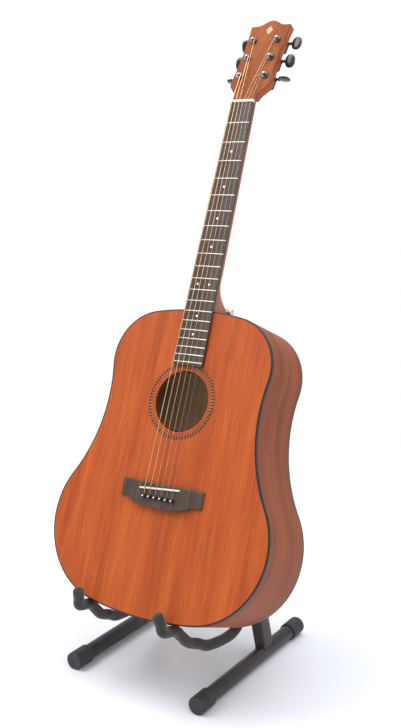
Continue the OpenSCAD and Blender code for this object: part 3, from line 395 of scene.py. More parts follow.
# Foot caps: moulded rubber
RUBBER = moulded("rubber_moulded_black", ("#2C2A2D", "#3B383C"), 0.62, 0.7, 0.00003)
# Mosaic tiles: stained maple, dark and light
TILE_DARK = moulded("maple_stained_dark", ("#241208", "#3C2011"), 0.4, 0.5, 0.00001, guitar_mm)
TILE_LIGHT = moulded("maple_stained_light", ("#8E4A22", "#B06C3A"), 0.4, 0.5, 0.00001, guitar_mm)


def metal(name, colours, rough, brushed):
    """Bare metal, with a fine draw direction along its stretch."""
    m, tree, shader = material(name, Metallic=1.0)
    lines = noise(tree, guitar_mm(tree, brushed), 3, 0.6)
    tree.links.new(ramp(tree, lines, [(0.3, colours[0]), (0.7, colours[1])]), shader.inputs["Base Color"])
    tree.links.new(ramp(tree, lines, [(0.3, rough), (0.7, rough + 0.12)]), shader.inputs["Roughness"])
    bump(tree, shader, lines, 0.000004, 0.4)
    return m


# Frets and plain strings: nickel steel, polished
STEEL = metal("nickel_steel_polished", ("#B9B6AE", "#D8D5CE"), 0.2, (2, 0.15, 0.15))
# Tuner posts: dark chrome
POST_CHROME = metal("chrome_dark_polished", ("#6E6C70", "#8C8A8E"), 0.16, (1, 1, 1))
# Strap button: chrome
CHROME = metal("chrome_polished", ("#C9CACF", "#DEDFE3"), 0.08, (1, 1, 1))
# Bolts and screws: dark zinc
ZINC = metal("steel_dark_zinc", ("#4A484B", "#6A686C"), 0.32, (0.4, 0.4, 0.4))


def wound():
    """Phosphor bronze winding on a string, one turn each 0.4 mm."""
    m, tree, shader = material("phosphor_bronze_wound", Metallic=1.0, Roughness=0.3)
    turns = add(tree, "ShaderNodeTexWave", {"Vector": uv_mm(tree), "Scale": 2 * math.pi / 0.4 / 20,
                                            "Distortion": 0.0}, wave_type="BANDS", bands_direction="X")
    tint = noise(tree, uv_mm(tree, (40, 40)), 2, 0.5)
    tree.links.new(ramp(tree, tint, [(0.35, "#D9AE86"), (0.65, "#F0D0AC")]), shader.inputs["Base Color"])
    bump(tree, shader, turns.outputs["Fac"], 0.00006, 0.7)
    return m


def pearl(name, shades):
    """Mother of pearl: swirled bands of three shades."""
    m, tree, shader = material(name, Roughness=0.22, Coat_Weight=0.3)
    swirl = noise(tree, guitar_mm(tree, (2.2, 3.0, 2)), 4, 0.6, 1.0, 1.6)
    tree.links.new(ramp(tree, swirl, list(zip((0.3, 0.5, 0.7), shades))),
                   shader.inputs["Base Color"])
    return m


def foam():
    """Closed-cell foam sleeve: skin with tiny cells, soft lengthwise creases and rubbed places."""
    m, tree, shader = material("foam_closed_cell_black", Roughness=0.82, Sheen_Weight=0.25,
                               Sheen_Roughness=0.5)
    cells = add(tree, "ShaderNodeTexVoronoi", {"Vector": row_mm(tree), "Scale": 1 / 0.9}, feature="F1")
    fine = noise(tree, row_mm(tree, (0.5, 0.5, 0.5)), 3, 0.7)
    creases = noise(tree, uv_mm(tree, (22, 3)), 3, 0.6)
    worn = noise(tree, row_mm(tree, (18, 18, 18)), 3, 0.6)
    base = ramp(tree, worn, [(0.35, "#241F1D"), (0.55, "#302927"), (0.72, "#423936")])
    tree.links.new(mix(tree, ramp(tree, fine, [(0.3, 0.0), (0.8, 0.5)]), base, linear("#181413")),
                   shader.inputs["Base Color"])
    height = add(tree, "ShaderNodeMath", {0: cells.outputs["Distance"], 1: 0.45}, operation="MULTIPLY")
    height = add(tree, "ShaderNodeMath", {0: creases, 1: 1.0, 2: height.outputs[0]}, operation="MULTIPLY_ADD")
    bump(tree, shader, height.outputs[0], 0.0004, 0.6)
    return m


BONE, WOUND, FOAM, BACK_WOOD = bone(), wound(), foam(), back_wood()
PEARL = pearl("pearl_polished", ("#CFCFC2", "#F1EEE4", "#E0CFC8"))
GOLD_PEARL = pearl("pearl_gold_polished", ("#86623A", "#A68353", "#967046"))


# ---------- guitar body ----------
LOWER_W, UPPER_W = 408, 302
LOWER_R, WAIST_R, UPPER_R, TOP_R, TAIL_R = 128, 263, 83, 457, 565
RIB_T, BINDING_H = 2.5, 6
HOLE_Y = 345


def arc_centres():
    lx, ux = LOWER_W / 2 - LOWER_R, UPPER_W / 2 - UPPER_R
    lower = Vector((lx, TAIL_R - math.sqrt((TAIL_R - LOWER_R) ** 2 - lx * lx)))
    top = Vector((0, BODY_LEN - TOP_R))
    upper = Vector((ux, top.y + math.sqrt((TOP_R - UPPER_R) ** 2 - ux * ux)))
    d = (upper - lower).length
    u = (upper - lower) / d
    reach = LOWER_R + WAIST_R
    along = (d * d + reach * reach - (UPPER_R + WAIST_R) ** 2) / (2 * d)
    waist = lower + along * u + math.sqrt(reach * reach - along * along) * Vector((u.y, -u.x))
    return Vector((0, TAIL_R)), lower, waist, upper, top


def body_outline():
    """Points and outward normals round the body, from the middle of the tail up the treble side."""
    tail, lower, waist, upper, top = arc_centres()

    def angle(v):
        return math.atan2(v.y, v.x)
    arcs = [(tail, TAIL_R, -math.pi / 2, angle(lower - tail), 1, 24),
            (lower, LOWER_R, angle(lower - tail), angle(waist - lower), 1, 56),
            (waist, WAIST_R, angle(lower - waist), angle(upper - waist), -1, 40),
            (upper, UPPER_R, angle(waist - upper), angle(upper - top), 1, 40),
            (top, TOP_R, angle(upper - top), math.pi / 2, 1, 20)]
    right = []
    for centre, r, a0, a1, side, steps in arcs:
        if side > 0 and a1 < a0:
            a1 += 2 * math.pi
        if side < 0:
            a0, a1 = a0 % (2 * math.pi), a1 % (2 * math.pi)
        for k in range(steps):
            a = a0 + (a1 - a0) * k / steps
            d = Vector((math.cos(a), math.sin(a)))
            right.append((centre + r * d, d * side))
    end = (Vector((0, BODY_LEN)), Vector((0, 1)))
    flip = [(Vector((-p.x, p.y)), Vector((-n.x, n.y))) for p, n in right[1:]]
    return right + [end] + flip[::-1]


OUTLINE = body_outline()


def back_z(y):
    return -TAIL_DEPTH + TAPER * y


def around_body(profile):
    """Rings round the body from profile(point) giving (outwards, height) pairs."""
    return [[(p.x + n.x * o, p.y + n.y * o, z) for o, z in profile(p)] for p, n in OUTLINE]


def ribs():
    # the ribs take the darker mahogany, whose darkness is painted shade for the sides
    rings = around_body(lambda p: [(0, -BINDING_H), (0, back_z(p.y) + BINDING_H),
                                   (-RIB_T, back_z(p.y) + BINDING_H), (-RIB_T, -BINDING_H)])
    piece("ribs", loft(rings, loop=True), BODY, "guitar", [RIB_SHADED],
          ("side_bass", "side_treble"))


def bindings():
    """Black edging with a rounded outer corner, round the face and round the back."""
    edge = ([(-RIB_T, -BINDING_H), (0, -BINDING_H)] + round_corner(-1.1, -1.1, 1.1, 0, 90, 5)
            + [(-RIB_T, 0)])
    rings = around_body(lambda p: edge)
    piece("binding_face", loft(rings, loop=True), BODY, "guitar", [BINDING], ("binding_top",))
    rings = around_body(lambda p: [(o, back_z(p.y) - z) for o, z in edge])
    piece("binding_rear", loft(rings, loop=True), BODY, "guitar", [BINDING], ("binding_back",))


# ---------- geometry nodes ----------
def grown(name, build, values, space, body, stands_for=()):
    """Runs a node group on an empty seed object and keeps the result as a plain mesh."""
    tree = bpy.data.node_groups.new(name + "_rule", "GeometryNodeTree")
    tree.interface.new_socket("Geometry", in_out="INPUT", socket_type="NodeSocketGeometry")
    sockets = {}
    for key, value in values.items():
        kind = "NodeSocketInt" if isinstance(value, int) else (
            "NodeSocketMaterial" if isinstance(value, bpy.types.Material) else "NodeSocketFloat")
        sockets[key] = tree.interface.new_socket(key, in_out="INPUT", socket_type=kind).identifier
    tree.interface.new_socket("Geometry", in_out="OUTPUT", socket_type="NodeSocketGeometry")
    start, end = tree.nodes.new("NodeGroupInput"), tree.nodes.new("NodeGroupOutput")
    build(tree, start, end)
    obj = bpy.data.objects.new(name + "_seed", bpy.data.meshes.new(name + "_seed"))
    bpy.context.scene.collection.objects.link(obj)
    modifier = obj.modifiers.new("rule", "NODES")
    modifier.node_group = tree
    for key, value in values.items():
        modifier[sockets[key]] = value
    bpy.context.view_layer.update()
    graph = bpy.context.evaluated_depsgraph_get()
    mesh = bpy.data.meshes.new_from_object(obj.evaluated_get(graph), preserve_all_data_layers=True,
                                           depsgraph=graph)
    bpy.data.objects.remove(obj)
    mesh.name = name
    mesh.transform(space)
    mesh.set_sharp_from_angle(angle=math.radians(35))
    made = bpy.data.objects.new(name, mesh)
    bpy.context.scene.collection.objects.link(made)
    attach(made, body)
    if stands_for:
        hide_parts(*stands_for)
    return made


def scratch(name, shape):
    """An object outside the scene, for a node group to copy."""
    mesh = bpy.data.meshes.new(name)
    mesh.from_pydata(shape[0], [], shape[1])
    return bpy.data.objects.new(name, mesh)


def stamped(tree, points, shape, paint, smooth=False, **placing):
    """Copies of a shape on points, made real and given their material."""
    source = add(tree, "GeometryNodeObjectInfo", {"Object": shape}).outputs["Geometry"]
    put = add(tree, "GeometryNodeInstanceOnPoints", {"Points": points, "Instance": source, **placing})
    solid = add(tree, "GeometryNodeRealizeInstances", {"Geometry": put.outputs[0]}).outputs["Geometry"]
    if smooth:
        solid = add(tree, "GeometryNodeSetShadeSmooth", {"Geometry": solid}).outputs["Geometry"]
    return add(tree, "GeometryNodeSetMaterial", {"Geometry": solid, "Material": paint}).outputs["Geometry"]


ROSETTE_IN, ROSETTE_OUT = 53.0, 62.5


def rosette():
    """Inlaid ring: a mahogany ground, two fine black lines, and a mosaic of wedge tiles."""
    def annulus(parts, r0, r1, z, mat):
        profile = [(r0, -1.0), (r1, -1.0), (r1, z), (r0, z)]
        rings = [[(r * math.cos(a), r * math.sin(a) + HOLE_Y, h) for r, h in profile]
                 for a in [2 * math.pi * k / 180 for k in range(180)]]
        parts.add(loft(rings, loop=True), mat=mat)
    parts = Parts()
    annulus(parts, 53.6, 61.9, 0.0, 0)
    annulus(parts, ROSETTE_IN, 53.6, 0.04, 1)
    annulus(parts, 61.9, ROSETTE_OUT, 0.04, 1)
    parts.make("rosette_ground", BODY, "guitar", "rosette", [MAHOGANY, TILE_DARK], ("rosette",))

    def wedge(inner, outer):
        pts = [(55.0, -inner / 2), (61.2, -outer / 2), (61.2, outer / 2), (55.0, inner / 2)]
        low = [(x - 58, y, -0.3) for x, y in pts]
        high = [(x - 58, y, 0.03) for x, y in pts]
        return loft([low, high])

    def rule(tree, start, end):
        circle = add(tree, "GeometryNodeMeshCircle", {"Vertices": start.outputs["Tiles"],
                                                      "Radius": start.outputs["Radius"]}).outputs["Mesh"]
        index = add(tree, "GeometryNodeInputIndex").outputs["Index"]
        odd = add(tree, "ShaderNodeMath", {0: index, 1: 2.0}, operation="MODULO").outputs[0]
        position = add(tree, "GeometryNodeInputPosition").outputs["Position"]
        turn = add(tree, "FunctionNodeAlignRotationToVector", {"Vector": position}, axis="X")
        join = add(tree, "GeometryNodeJoinGeometry")
        for shape, paint, how in ((dark_tile, "Dark tile", "LESS_THAN"),
                                  (light_tile, "Light tile", "GREATER_THAN")):
            pick = add(tree, "ShaderNodeMath", {0: odd, 1: 0.5}, operation=how).outputs[0]
            tiles = stamped(tree, circle, shape, start.outputs[paint], Selection=pick,
                            Rotation=turn.outputs["Rotation"])
            tree.links.new(tiles, join.inputs["Geometry"])
        tree.links.new(join.outputs["Geometry"], end.inputs["Geometry"])
    dark_tile = scratch("tile_dark", wedge(1.1, 3.5))
    light_tile = scratch("tile_light", wedge(2.4, 0.9))
    grown("rosette_mosaic", rule,
          {"Tiles": 144, "Radius": 58.0, "Dark tile": TILE_DARK, "Light tile": TILE_LIGHT},
          BODY @ Matrix.Translation((0, HOLE_Y, 0)), "guitar")


# ---------- bridge ----------
SADDLE_Y = BODY_LEN + NUT_Y - SCALE_LEN - 2
PIN_Y = SADDLE_Y - 15
BRIDGE_W, BRIDGE_H, WING_H, WING_LEN, BELLY, BELLY_HALF = 154, 9, 4, 28, 11.5, 62
SADDLE_LIFT, STRING_STEP = 12.4, 10.8
SADDLE_SKEW = math.radians(4.5)


def clustered(n, edge):
    """n steps from 0 to 1, gathered towards both ends."""
    return [0.5 - 0.5 * math.copysign(abs(math.cos(math.pi * k / n)) ** (1 / edge), math.cos(math.pi * k / n))
            for k in range(n + 1)]


def bridge():
    """Rosewood bridge with a belly, thin wings and rounded upper edges."""
    half, flat, edge = BRIDGE_W / 2, 43.5, 1.6

    def top_z(x):
        t = min(max((abs(x) - flat) / (half - flat), 0), 1)
        return BRIDGE_H - (BRIDGE_H - WING_H) * (1 - math.cos(math.pi * t)) / 2

    def low_y(x):
        return -WING_LEN - BELLY * math.cos(math.pi / 2 * min(abs(x) / BELLY_HALF, 1) ** 1.8)
    xs = [-half + BRIDGE_W * t for t in clustered(64, 1.6)]
    vs = clustered(18, 1.6)
    verts, faces = [], []
    for x in xs:
        for v in vs:
            y = low_y(x) * v
            d = min(-y, y - low_y(x), half - abs(x))
            drop = edge - math.sqrt(max(edge * edge - max(edge - d, 0) ** 2, 0))
            verts.append((x, y, top_z(x) - drop))
    m, n = len(xs), len(vs)
    for i in range(m - 1):
        for k in range(n - 1):
            a = i * n + k
            faces.append((a, a + 1, a + n + 1, a + n))
    rim = ([i * n for i in range(m)] + [(m - 1) * n + k for k in range(1, n)]
           + [i * n + n - 1 for i in range(m - 2, -1, -1)] + [k for k in range(n - 2, 0, -1)])
    first = len(verts)
    verts += [(verts[i][0], verts[i][1], 0.0) for i in rim]
    for k, i in enumerate(rim):
        j = (k + 1) % len(rim)
        faces.append((i, rim[j], first + j, first + k))
    faces.append(tuple(first + k for k in range(len(rim)))[::-1])
    piece("bridge_body", (verts, faces), BODY @ Matrix.Translation((0, SADDLE_Y + 8, 0)), "guitar",
          [ROSEWOOD], ("bridge",), sharp=50)


def bone_bar(name, section, length, space, stands_for):
    """Bar of bone along x, its ends rounded over."""
    cy = sum(y for y, z in section) / len(section)
    cz = sum(z for y, z in section) / len(section)
    rings = []
    for x, s in ((-length / 2, 0.8), (-length / 2 + 0.15, 0.92), (-length / 2 + 0.6, 1),
                 (length / 2 - 0.6, 1), (length / 2 - 0.15, 0.92), (length / 2, 0.8)):
        rings.append([(x, cy + (y - cy) * s, cz + (z - cz) * s) for y, z in section])
    piece(name, loft(rings), space, "guitar", [BONE], stands_for)


def saddle_and_nut():
    section = [(-1.5, 5), (1.5, 5), (1.5, 10.4)] + round_corner(0, SADDLE_LIFT - 1.5, 1.5, 0, 180, 10)
    bone_bar("saddle_bar", section, 75, BODY @ Matrix.Translation((0, SADDLE_Y, 0))
             @ Matrix.Rotation(SADDLE_SKEW, 4, "Z"), ("saddle",))
    top = BOARD_H + FRET_R + 0.55
    section = ([(0, 0.02), (NUT_T - 0.02, 0.02)] + round_corner(NUT_T - 1.1, top - 2.3, 1.1, 0, 60, 5)
               + round_corner(1.4, top - 0.5, 0.5, 60, 90, 3) + round_corner(0.4, top - 0.4, 0.4, 90, 180, 4))
    bone_bar("nut_bar", section, NUT_W, NECK @ Matrix.Translation((0, NUT_Y, 0)), ("nut",))


def bridge_pins():
    """Six black pins with pearl eyes, set by a rule along the bridge."""
    head = [(2.5, -9), (2.5, 2.5), (2.9, 2.62), (3.6, 2.7), (3.8, 3.1)] + [
        (3.8 * math.cos(math.radians(a)), 3.1 + 3.3 * math.sin(math.radians(a))) for a in range(12, 71, 8)]
    eye = [(1.35, 6.0), (1.3, 6.46), (0.9, 6.58), (0, 6.62)]

    def rule(tree, start, end):
        row = add(tree, "GeometryNodeMeshLine", {"Offset": (0, 0, 0), "Count": start.outputs["Pins"]},
                  mode="OFFSET").outputs["Mesh"]
        index = add(tree, "GeometryNodeInputIndex").outputs["Index"]
        step = add(tree, "ShaderNodeMath", {0: index, 1: 2.5}, operation="SUBTRACT").outputs[0]
        across = add(tree, "ShaderNodeMath", {0: step, 1: start.outputs["Spacing"]}, operation="MULTIPLY")
        at = add(tree, "ShaderNodeCombineXYZ", {"X": across.outputs[0]}).outputs[0]
        points = add(tree, "GeometryNodeSetPosition", {"Geometry": row, "Position": at}).outputs["Geometry"]
        join = add(tree, "GeometryNodeJoinGeometry")
        for shape, paint in ((pin_head, "Pin"), (pin_eye, "Eye")):
            pins = stamped(tree, points, shape, start.outputs[paint], smooth=True)
            tree.links.new(pins, join.inputs["Geometry"])
        tree.links.new(join.outputs["Geometry"], end.inputs["Geometry"])
    pin_head = scratch("pin_head", lathe(head, 24))
    pin_eye = scratch("pin_eye", lathe(eye, 16))
    grown("string_pins", rule, {"Pins": 6, "Spacing": STRING_STEP, "Pin": PLASTIC, "Eye": PEARL},
          BODY @ Matrix.Translation((0, PIN_Y, BRIDGE_H)), "guitar", ("bridge_pins",))


def strap_knobs():
    def knob(length):
        return ([(6.2, 0), (6.5, 0.3), (6.5, 0.9), (6.1, 1.2), (3.9, 1.25), (3.5, 1.7), (3.5, length - 4.4),
                 (3.8, length - 3.8)] + [(6 - 0.2 * k, length - 2.1 + 0.35 * k) for k in range(4)]
                + [(5.0, length - 0.5), (4.2, length - 0.1), (3.0, length), (0, length)])
    shape = lathe(knob(12), 40)
    piece("tail_button", shape, BODY @ Matrix.Translation((0, 0, -TAIL_DEPTH / 2))
          @ Matrix.Rotation(math.radians(90), 4, "X"), "guitar", [PLASTIC], ("end_pin",))
    deep, up = 58, 12
    angle = math.asin((deep / neck_back(up)) ** (1 / 0.8))
    space = (NECK @ Matrix.Translation((neck_half(up, angle) - 1, up, -deep))
             @ Matrix.Rotation(math.radians(82), 4, "Y"))
    piece("heel_strap_button", shape, space, "guitar", [CHROME], ("strap_button",))


# ---------- neck ----------
HEEL_LEN, HEEL_DEPTH, HEEL_EXTRA = 62, NECK_DEPTH - BINDING_H - 1, 24
NECK_T = 15


def board_w(y):
    return NUT_W + BOARD_FLARE * (NUT_Y - y)


def heel_rise(y):
    return max(0, 1 - y / HEEL_LEN) ** 2.6


def neck_back(y):
    return NECK_T + 0.006 * (NUT_Y - y) + (HEEL_DEPTH + HEEL_EXTRA - NECK_T) * heel_rise(y)


def neck_half(y, a):
    return (board_w(y) / 2 * abs(math.cos(a)) ** 0.9
            * (1 - 0.35 * heel_rise(y) ** 0.35 * abs(math.sin(a)) ** 0.8))


def head_side(y):
    return 35 + 0.0009 * (y - 95) ** 2


HEAD_LEN, CROWN, CROWN_HALF, FLARE = 158, 11, 27, 22


def head_edge(y):
    """Half width of the headstock at y, up to its shoulders."""
    if y < 4:
        return 21.5
    if y < 20.3:
        return 21.5 + FLARE * (1 - math.sqrt(max(1 - ((y - 4) / FLARE) ** 2, 0)))
    start = 21.5 + FLARE * (1 - math.cos(math.radians(48)))
    return start + (head_side(36) - 1.8 - start) * min((y - 20.3) / 9.2, 1)


def neck():
    """Neck and heel, running on under the headstock in a smooth throat."""
    to_head = NECK.inverted() @ HEAD
    rings, n = [], 40
    ys = [-2 + 2 * k for k in range(34)] + [66 + (NUT_Y - 10 - 66) * k / 24 for k in range(1, 25)]
    for y in ys:
        ring = []
        for k in range(n + 1):
            a = math.pi * k / n
            z = -neck_back(y) * abs(math.sin(a)) ** 0.8
            ring.append((math.copysign(neck_half(y, a), math.cos(a)), y, max(z, -HEEL_DEPTH)))
        rings.append(ring)
    for t in [k * 2.0 for k in range(0, 16)]:
        square = min(t / 28, 1)
        square = square * square * (3 - 2 * square)
        ring = []
        half = head_edge(t) - 0.25
        for k in range(n + 1):
            a = math.pi * k / n
            px = 0.9 + (0.22 - 0.9) * square
            pz = 0.8 + (0.16 - 0.8) * square
            x = math.copysign(half * abs(math.cos(a)) ** px, math.cos(a))
            z = -2.2 - (14.6 - 3.0 * square) * abs(math.sin(a)) ** pz
            ring.append(tuple(to_head @ Vector((x, t, z))))
        rings.append(ring)
    piece("neck_and_heel", loft(rings), NECK, "guitar", [NECK_WOOD], ("neck",), sharp=60)


def head_outline(inset):
    """Outline of the headstock above y 6, moved inwards."""
    right = [(head_edge(6 + k) - inset, 6 + k + (inset if k == 0 else 0)) for k in range(0, 24)]
    right += round_corner(head_side(36) - 1.9, 33.0, 1.0, -20, 30, 3)
    right = [(x, y) for x, y in right[:24]] + [(x - inset, y) for x, y in right[24:]]
    right += [(head_side(36 + 122 * k / 24) - inset, 36 + (121 * k / 24)) for k in range(0, 25)]
    right += [(head_side(157.6) - 0.5 - inset, HEAD_LEN - 0.35 - inset * 0.7),
              (head_side(158) - 1.2 - inset, HEAD_LEN - inset),
              ((head_side(158) + CROWN_HALF) / 2, HEAD_LEN - inset)]
    right += [(CROWN_HALF * (1 - k / 20), HEAD_LEN - inset + CROWN * (1 - math.cos(math.pi * k / 20)) / 2)
              for k in range(0, 20)]
    left = [(-x, y) for x, y in right[::-1]]
    return right + [(0, HEAD_LEN + CROWN - inset)] + left


def headstock():
    """Headstock wood with its face veneer, edges eased."""
    piece("headstock_wood", slab(head_outline, HEAD_BACK, -VENEER, 0.9), HEAD, "guitar",
          [NECK_WOOD], ("headstock",))

    def face(inset):
        pts = head_outline(inset)
        half = len(pts) // 2
        low = [(head_edge(0) - inset, 0.25), (head_edge(2) - inset, 2), (head_edge(4) - inset, 4)]
        return low + pts + [(-x, y) for x, y in low[::-1]]
    # the face takes the darkened mahogany, whose darkness is painted shade
    piece("headstock_face", slab(face, -VENEER, 0, 0.45), HEAD, "guitar", [FACE_WOOD_SHADED],
          ("headstock_veneer",))


def frets():
    """Fret wires set by the twelfth root of two, crowned to the fretboard."""
    wire = [(FRET_R, -0.35)] + round_corner(0, 0, FRET_R, 0, 180, 8) + [(-FRET_R, -0.35)]
    rings = [[(x, y * s, max(z, 0) * s + min(z, 0)) for y, z in wire] for x, s in
             ((-0.5, 0.45), (-0.492, 0.85), (-0.48, 1), (-0.3, 1), (-0.15, 1), (0, 1), (0.15, 1), (0.3, 1),
              (0.48, 1), (0.492, 0.85), (0.5, 0.45))]
    shape = scratch("fret_wire", loft(rings))

    def rule(tree, start, end):
        row = add(tree, "GeometryNodeMeshLine", {"Offset": (0, 0, 0), "Count": start.outputs["Frets"]},
                  mode="OFFSET").outputs["Mesh"]
        # each fret's distance from the nut
        down = add(tree, "GeometryNodeInputIndex").outputs["Index"]
        for how, place, other in (("ADD", 0, 1.0), ("DIVIDE", 0, -12.0), ("POWER", 1, 2.0),
                                  ("SUBTRACT", 1, 1.0), ("MULTIPLY", 0, start.outputs["String length"])):
            down = add(tree, "ShaderNodeMath", {place: down, 1 - place: other}, operation=how).outputs[0]
        back = add(tree, "ShaderNodeMath", {0: down, 1: -1.0}, operation="MULTIPLY").outputs[0]
        at = add(tree, "ShaderNodeCombineXYZ", {"Y": back}).outputs[0]
        points = add(tree, "GeometryNodeSetPosition", {"Geometry": row, "Position": at}).outputs["Geometry"]
        wide = add(tree, "ShaderNodeMath", {0: down, 1: start.outputs["Board flare"],
                                            2: start.outputs["Nut width"]}, operation="MULTIPLY_ADD")
        scale = add(tree, "ShaderNodeCombineXYZ", {"X": wide.outputs[0], "Y": 1.0, "Z": 1.0}).outputs[0]
        wires = stamped(tree, points, shape, start.outputs["Wire"], Scale=scale)
        # sag to the crown: x squared over twice the radius
        position = add(tree, "GeometryNodeInputPosition").outputs["Position"]
        x = add(tree, "ShaderNodeSeparateXYZ", {0: position}).outputs["X"]
        square = add(tree, "ShaderNodeMath", {0: x, 1: x}, operation="MULTIPLY").outputs[0]
        sag = add(tree, "ShaderNodeMath", {0: square, 1: start.outputs["Crown"]}, operation="MULTIPLY")
        lower = add(tree, "ShaderNodeCombineXYZ", {"Z": sag.outputs[0]}).outputs[0]
        wires = add(tree, "GeometryNodeSetPosition", {"Geometry": wires, "Offset": lower}).outputs["Geometry"]
        wires = add(tree, "GeometryNodeSetShadeSmooth", {"Geometry": wires}).outputs["Geometry"]
        tree.links.new(wires, end.inputs["Geometry"])
    grown("fret_wires", rule,
          {"Frets": 20, "String length": float(SCALE_LEN), "Nut width": float(NUT_W),
           "Board flare": BOARD_FLARE, "Crown": -1 / 800, "Wire": STEEL},
          NECK @ Matrix.Translation((0, NUT_Y, BOARD_H)), "guitar", ("frets",))


# ---------- tuners ----------
POST_YS = (50, 88, 125.5)
HOUSING = (19, 24, 11)
SHAFT_Y, SHAFT_Z = 6.5, HEAD_BACK - 5.5
BUTTON_TURNS = (112, 30, 40, 12, 22, 112)
STRING_D = (1.35, 1.07, 0.81, 0.61, 0.41, 0.3)


def side_of(i):
    return -1 if i < 3 else 1


def post_at(i):
    k = i if i < 3 else 5 - i
    return side_of(i) * (head_side(POST_YS[k]) - 12.5), POST_YS[k]


def tuners():
    housing, bushes = Parts(), Parts()
    for i in range(6):
        x, y = post_at(i)
        at = Matrix.Translation((x, y, 0))
        block = rounded_box(HOUSING[0], HOUSING[1], 3.2)
        housing.add(slab(block, HEAD_BACK - HOUSING[2], HEAD_BACK, 2.2), at=at)
        # domed cover over the gear
        housing.add(lathe([(6.2, -24.4), (6.0, -25.5), (5.2, -25.9), (3.4, -26.05), (0, -26.1)], 32), at=at)
        # collar where the shaft comes out
        mouth = Matrix.Translation((side_of(i) * (HOUSING[0] / 2 - 0.3), SHAFT_Y, SHAFT_Z))
        housing.add(lathe([(3.3, 0), (3.3, 1.6), (2.9, 2.1), (2.0, 2.2)], 24),
                    at=at @ mouth @ Matrix.Rotation(math.radians(90 * side_of(i)), 4, "Y"))
        bush = ([(3.05, -1), (7.2, -1), (7.2, 0.6), (6.9, 0.95), (6.4, 1.0)]
                + [(6.2, 1.05), (5.9, 2.4), (5.6, 2.85), (5.2, 3.0), (3.05, 3.0)])
        bushes.add(lathe_ring(bush, 36), at=at)
    housing.make("tuner_castings", HEAD, "guitar", "black_metal", [TUNER_BLACK], ("tuner_housings",))
    bushes.make("tuner_washers", HEAD, "guitar", "black_metal", [TUNER_BLACK], ("tuner_bushings",))


def lathe_ring(profile, sides):
    """Turned ring: a closed profile of (radius, height) pairs swept about z."""
    rings = [[(r * math.cos(a), r * math.sin(a), z) for r, z in profile]
             for a in [2 * math.pi * k / sides for k in range(sides)]]
    return loft(rings, loop=True)


def tuner_buttons():
    """Black oval buttons, pillowed on both faces, each on its shaft."""
    length, width, thick = 18, 23, 6
    for i in range(6):
        s = side_of(i)
        x, y = post_at(i)
        reach = head_side(y) - abs(x) + 13.5
        parts = Parts()
        shaft = [(1.9, 8.2), (1.9, reach - 11.2), (2.9, reach - 11), (3.1, reach - 10.6), (3.1, reach - 8.9),
                 (2.7, reach - 8.4), (2.5, reach - 5)]
        parts.add(lathe(shaft, 28), at=Matrix.Rotation(math.radians(90 * s), 4, "Y"))
        rings, around = [], 56
        for k in range(1, 24):
            a = math.pi * k / 24
            swell = abs(math.sin(a)) ** 0.62
            z = thick / 2 * math.copysign(abs(math.cos(a)) ** 0.75, math.cos(a))
            ring = []
            for j in range(around):
                b = 2 * math.pi * j / around
                u = math.copysign(abs(math.cos(b)) ** 0.86, math.cos(b)) * length / 2
                v = math.copysign(abs(math.sin(b)) ** 0.86, math.sin(b)) * width / 2
                ring.append((s * reach + u * swell, v * swell, z))
            rings.append(ring)
        parts.add(loft(rings))
        space = (HEAD @ Matrix.Translation((x, y + SHAFT_Y, SHAFT_Z))
                 @ Matrix.Rotation(math.radians(BUTTON_TURNS[i]), 4, "X"))
        parts.make(f"tuning_key_{i + 1}", space, f"tuner_button_{i + 1}", "black_metal", [TUNER_BLACK],
                   (f"tuner_button_{i + 1}",), sharp=50)


# ---------- strings ----------
def strings():
    to_body = BODY.inverted()
    wound_parts, plain_parts = Parts(), Parts()
    for i, d in enumerate(STRING_D):
        px = (i - 2.5) * STRING_STEP
        sx = px * 0.995
        x, y = post_at(i)
        hug = 3.3 + d / 2
        start = Vector((px, PIN_Y + 1.8, BRIDGE_H + 0.9))
        saddle = Vector((sx, SADDLE_Y + sx * math.tan(SADDLE_SKEW), SADDLE_LIFT + d / 2 + 0.12))
        nut = to_body @ NECK @ Vector(((i - 2.5) * 7.2, NUT_Y + 1.4, BOARD_H + FRET_R + 0.6 + d / 2))
        post = to_body @ HEAD @ Vector((x - side_of(i) * hug, y, 5.5))
        turns = [to_body @ HEAD @ Vector((x - side_of(i) * hug * math.cos(a), y + hug * math.sin(a),
                                          5.5 - 1.1 * d * a / (2 * math.pi)))
                 for a in [2 * math.pi * k / 28 for k in range(1, 28 + 1)]]
        middle = [saddle + (nut - saddle) * t / 8 for t in range(1, 8)]
        path = ([start - Vector((0, 0, 9)), start - Vector((0, 0, 0.4)), start + (saddle - start) * 0.08,
                 saddle + (start - saddle) * 0.1, saddle] + middle
                + [nut, nut + (post - nut) * 0.5, post] + turns)
        (wound_parts if i < 4 else plain_parts).add(tube(path, d / 2, 10, 0))
    wound_parts.make("strings_bronze", BODY, "guitar", "bronze_wire", [WOUND], ("strings_wound",), sharp=60)
    plain_parts.make("strings_steel", BODY, "guitar", "plain_steel", [STEEL], ("strings_plain",), sharp=60)


# ---------- stand ----------
HINGE_X, HINGE_Y, HINGE_Z = 14, 83.28069, 395
FOOT_X, FOOT_LEN, TUBE_R, TUBE_Z = 123, 324, 12.5, 14.6
UPRIGHT = (20, 30)
LEG_BACK = math.radians(5)
SPREAD = math.atan((FOOT_X - HINGE_X) / ((HINGE_Z - TUBE_Z) / math.cos(LEG_BACK)))
UPRIGHT_LEN = (HINGE_Z - TUBE_Z) / math.cos(LEG_BACK) / math.cos(SPREAD)
ARM_Z, REST_Z = 150, 352
UP = (ROW @ Matrix.Translation((0, HINGE_Y, HINGE_Z)) @ Matrix.Rotation(-LEG_BACK, 4, "X")
      @ Matrix.Translation((HINGE_X, 0, 0)) @ Matrix.Rotation(-SPREAD, 4, "Y"))
MIRROR = Matrix.Scale(-1, 4, (1, 0, 0))
GUITAR_MM = ROW.inverted() @ BODY


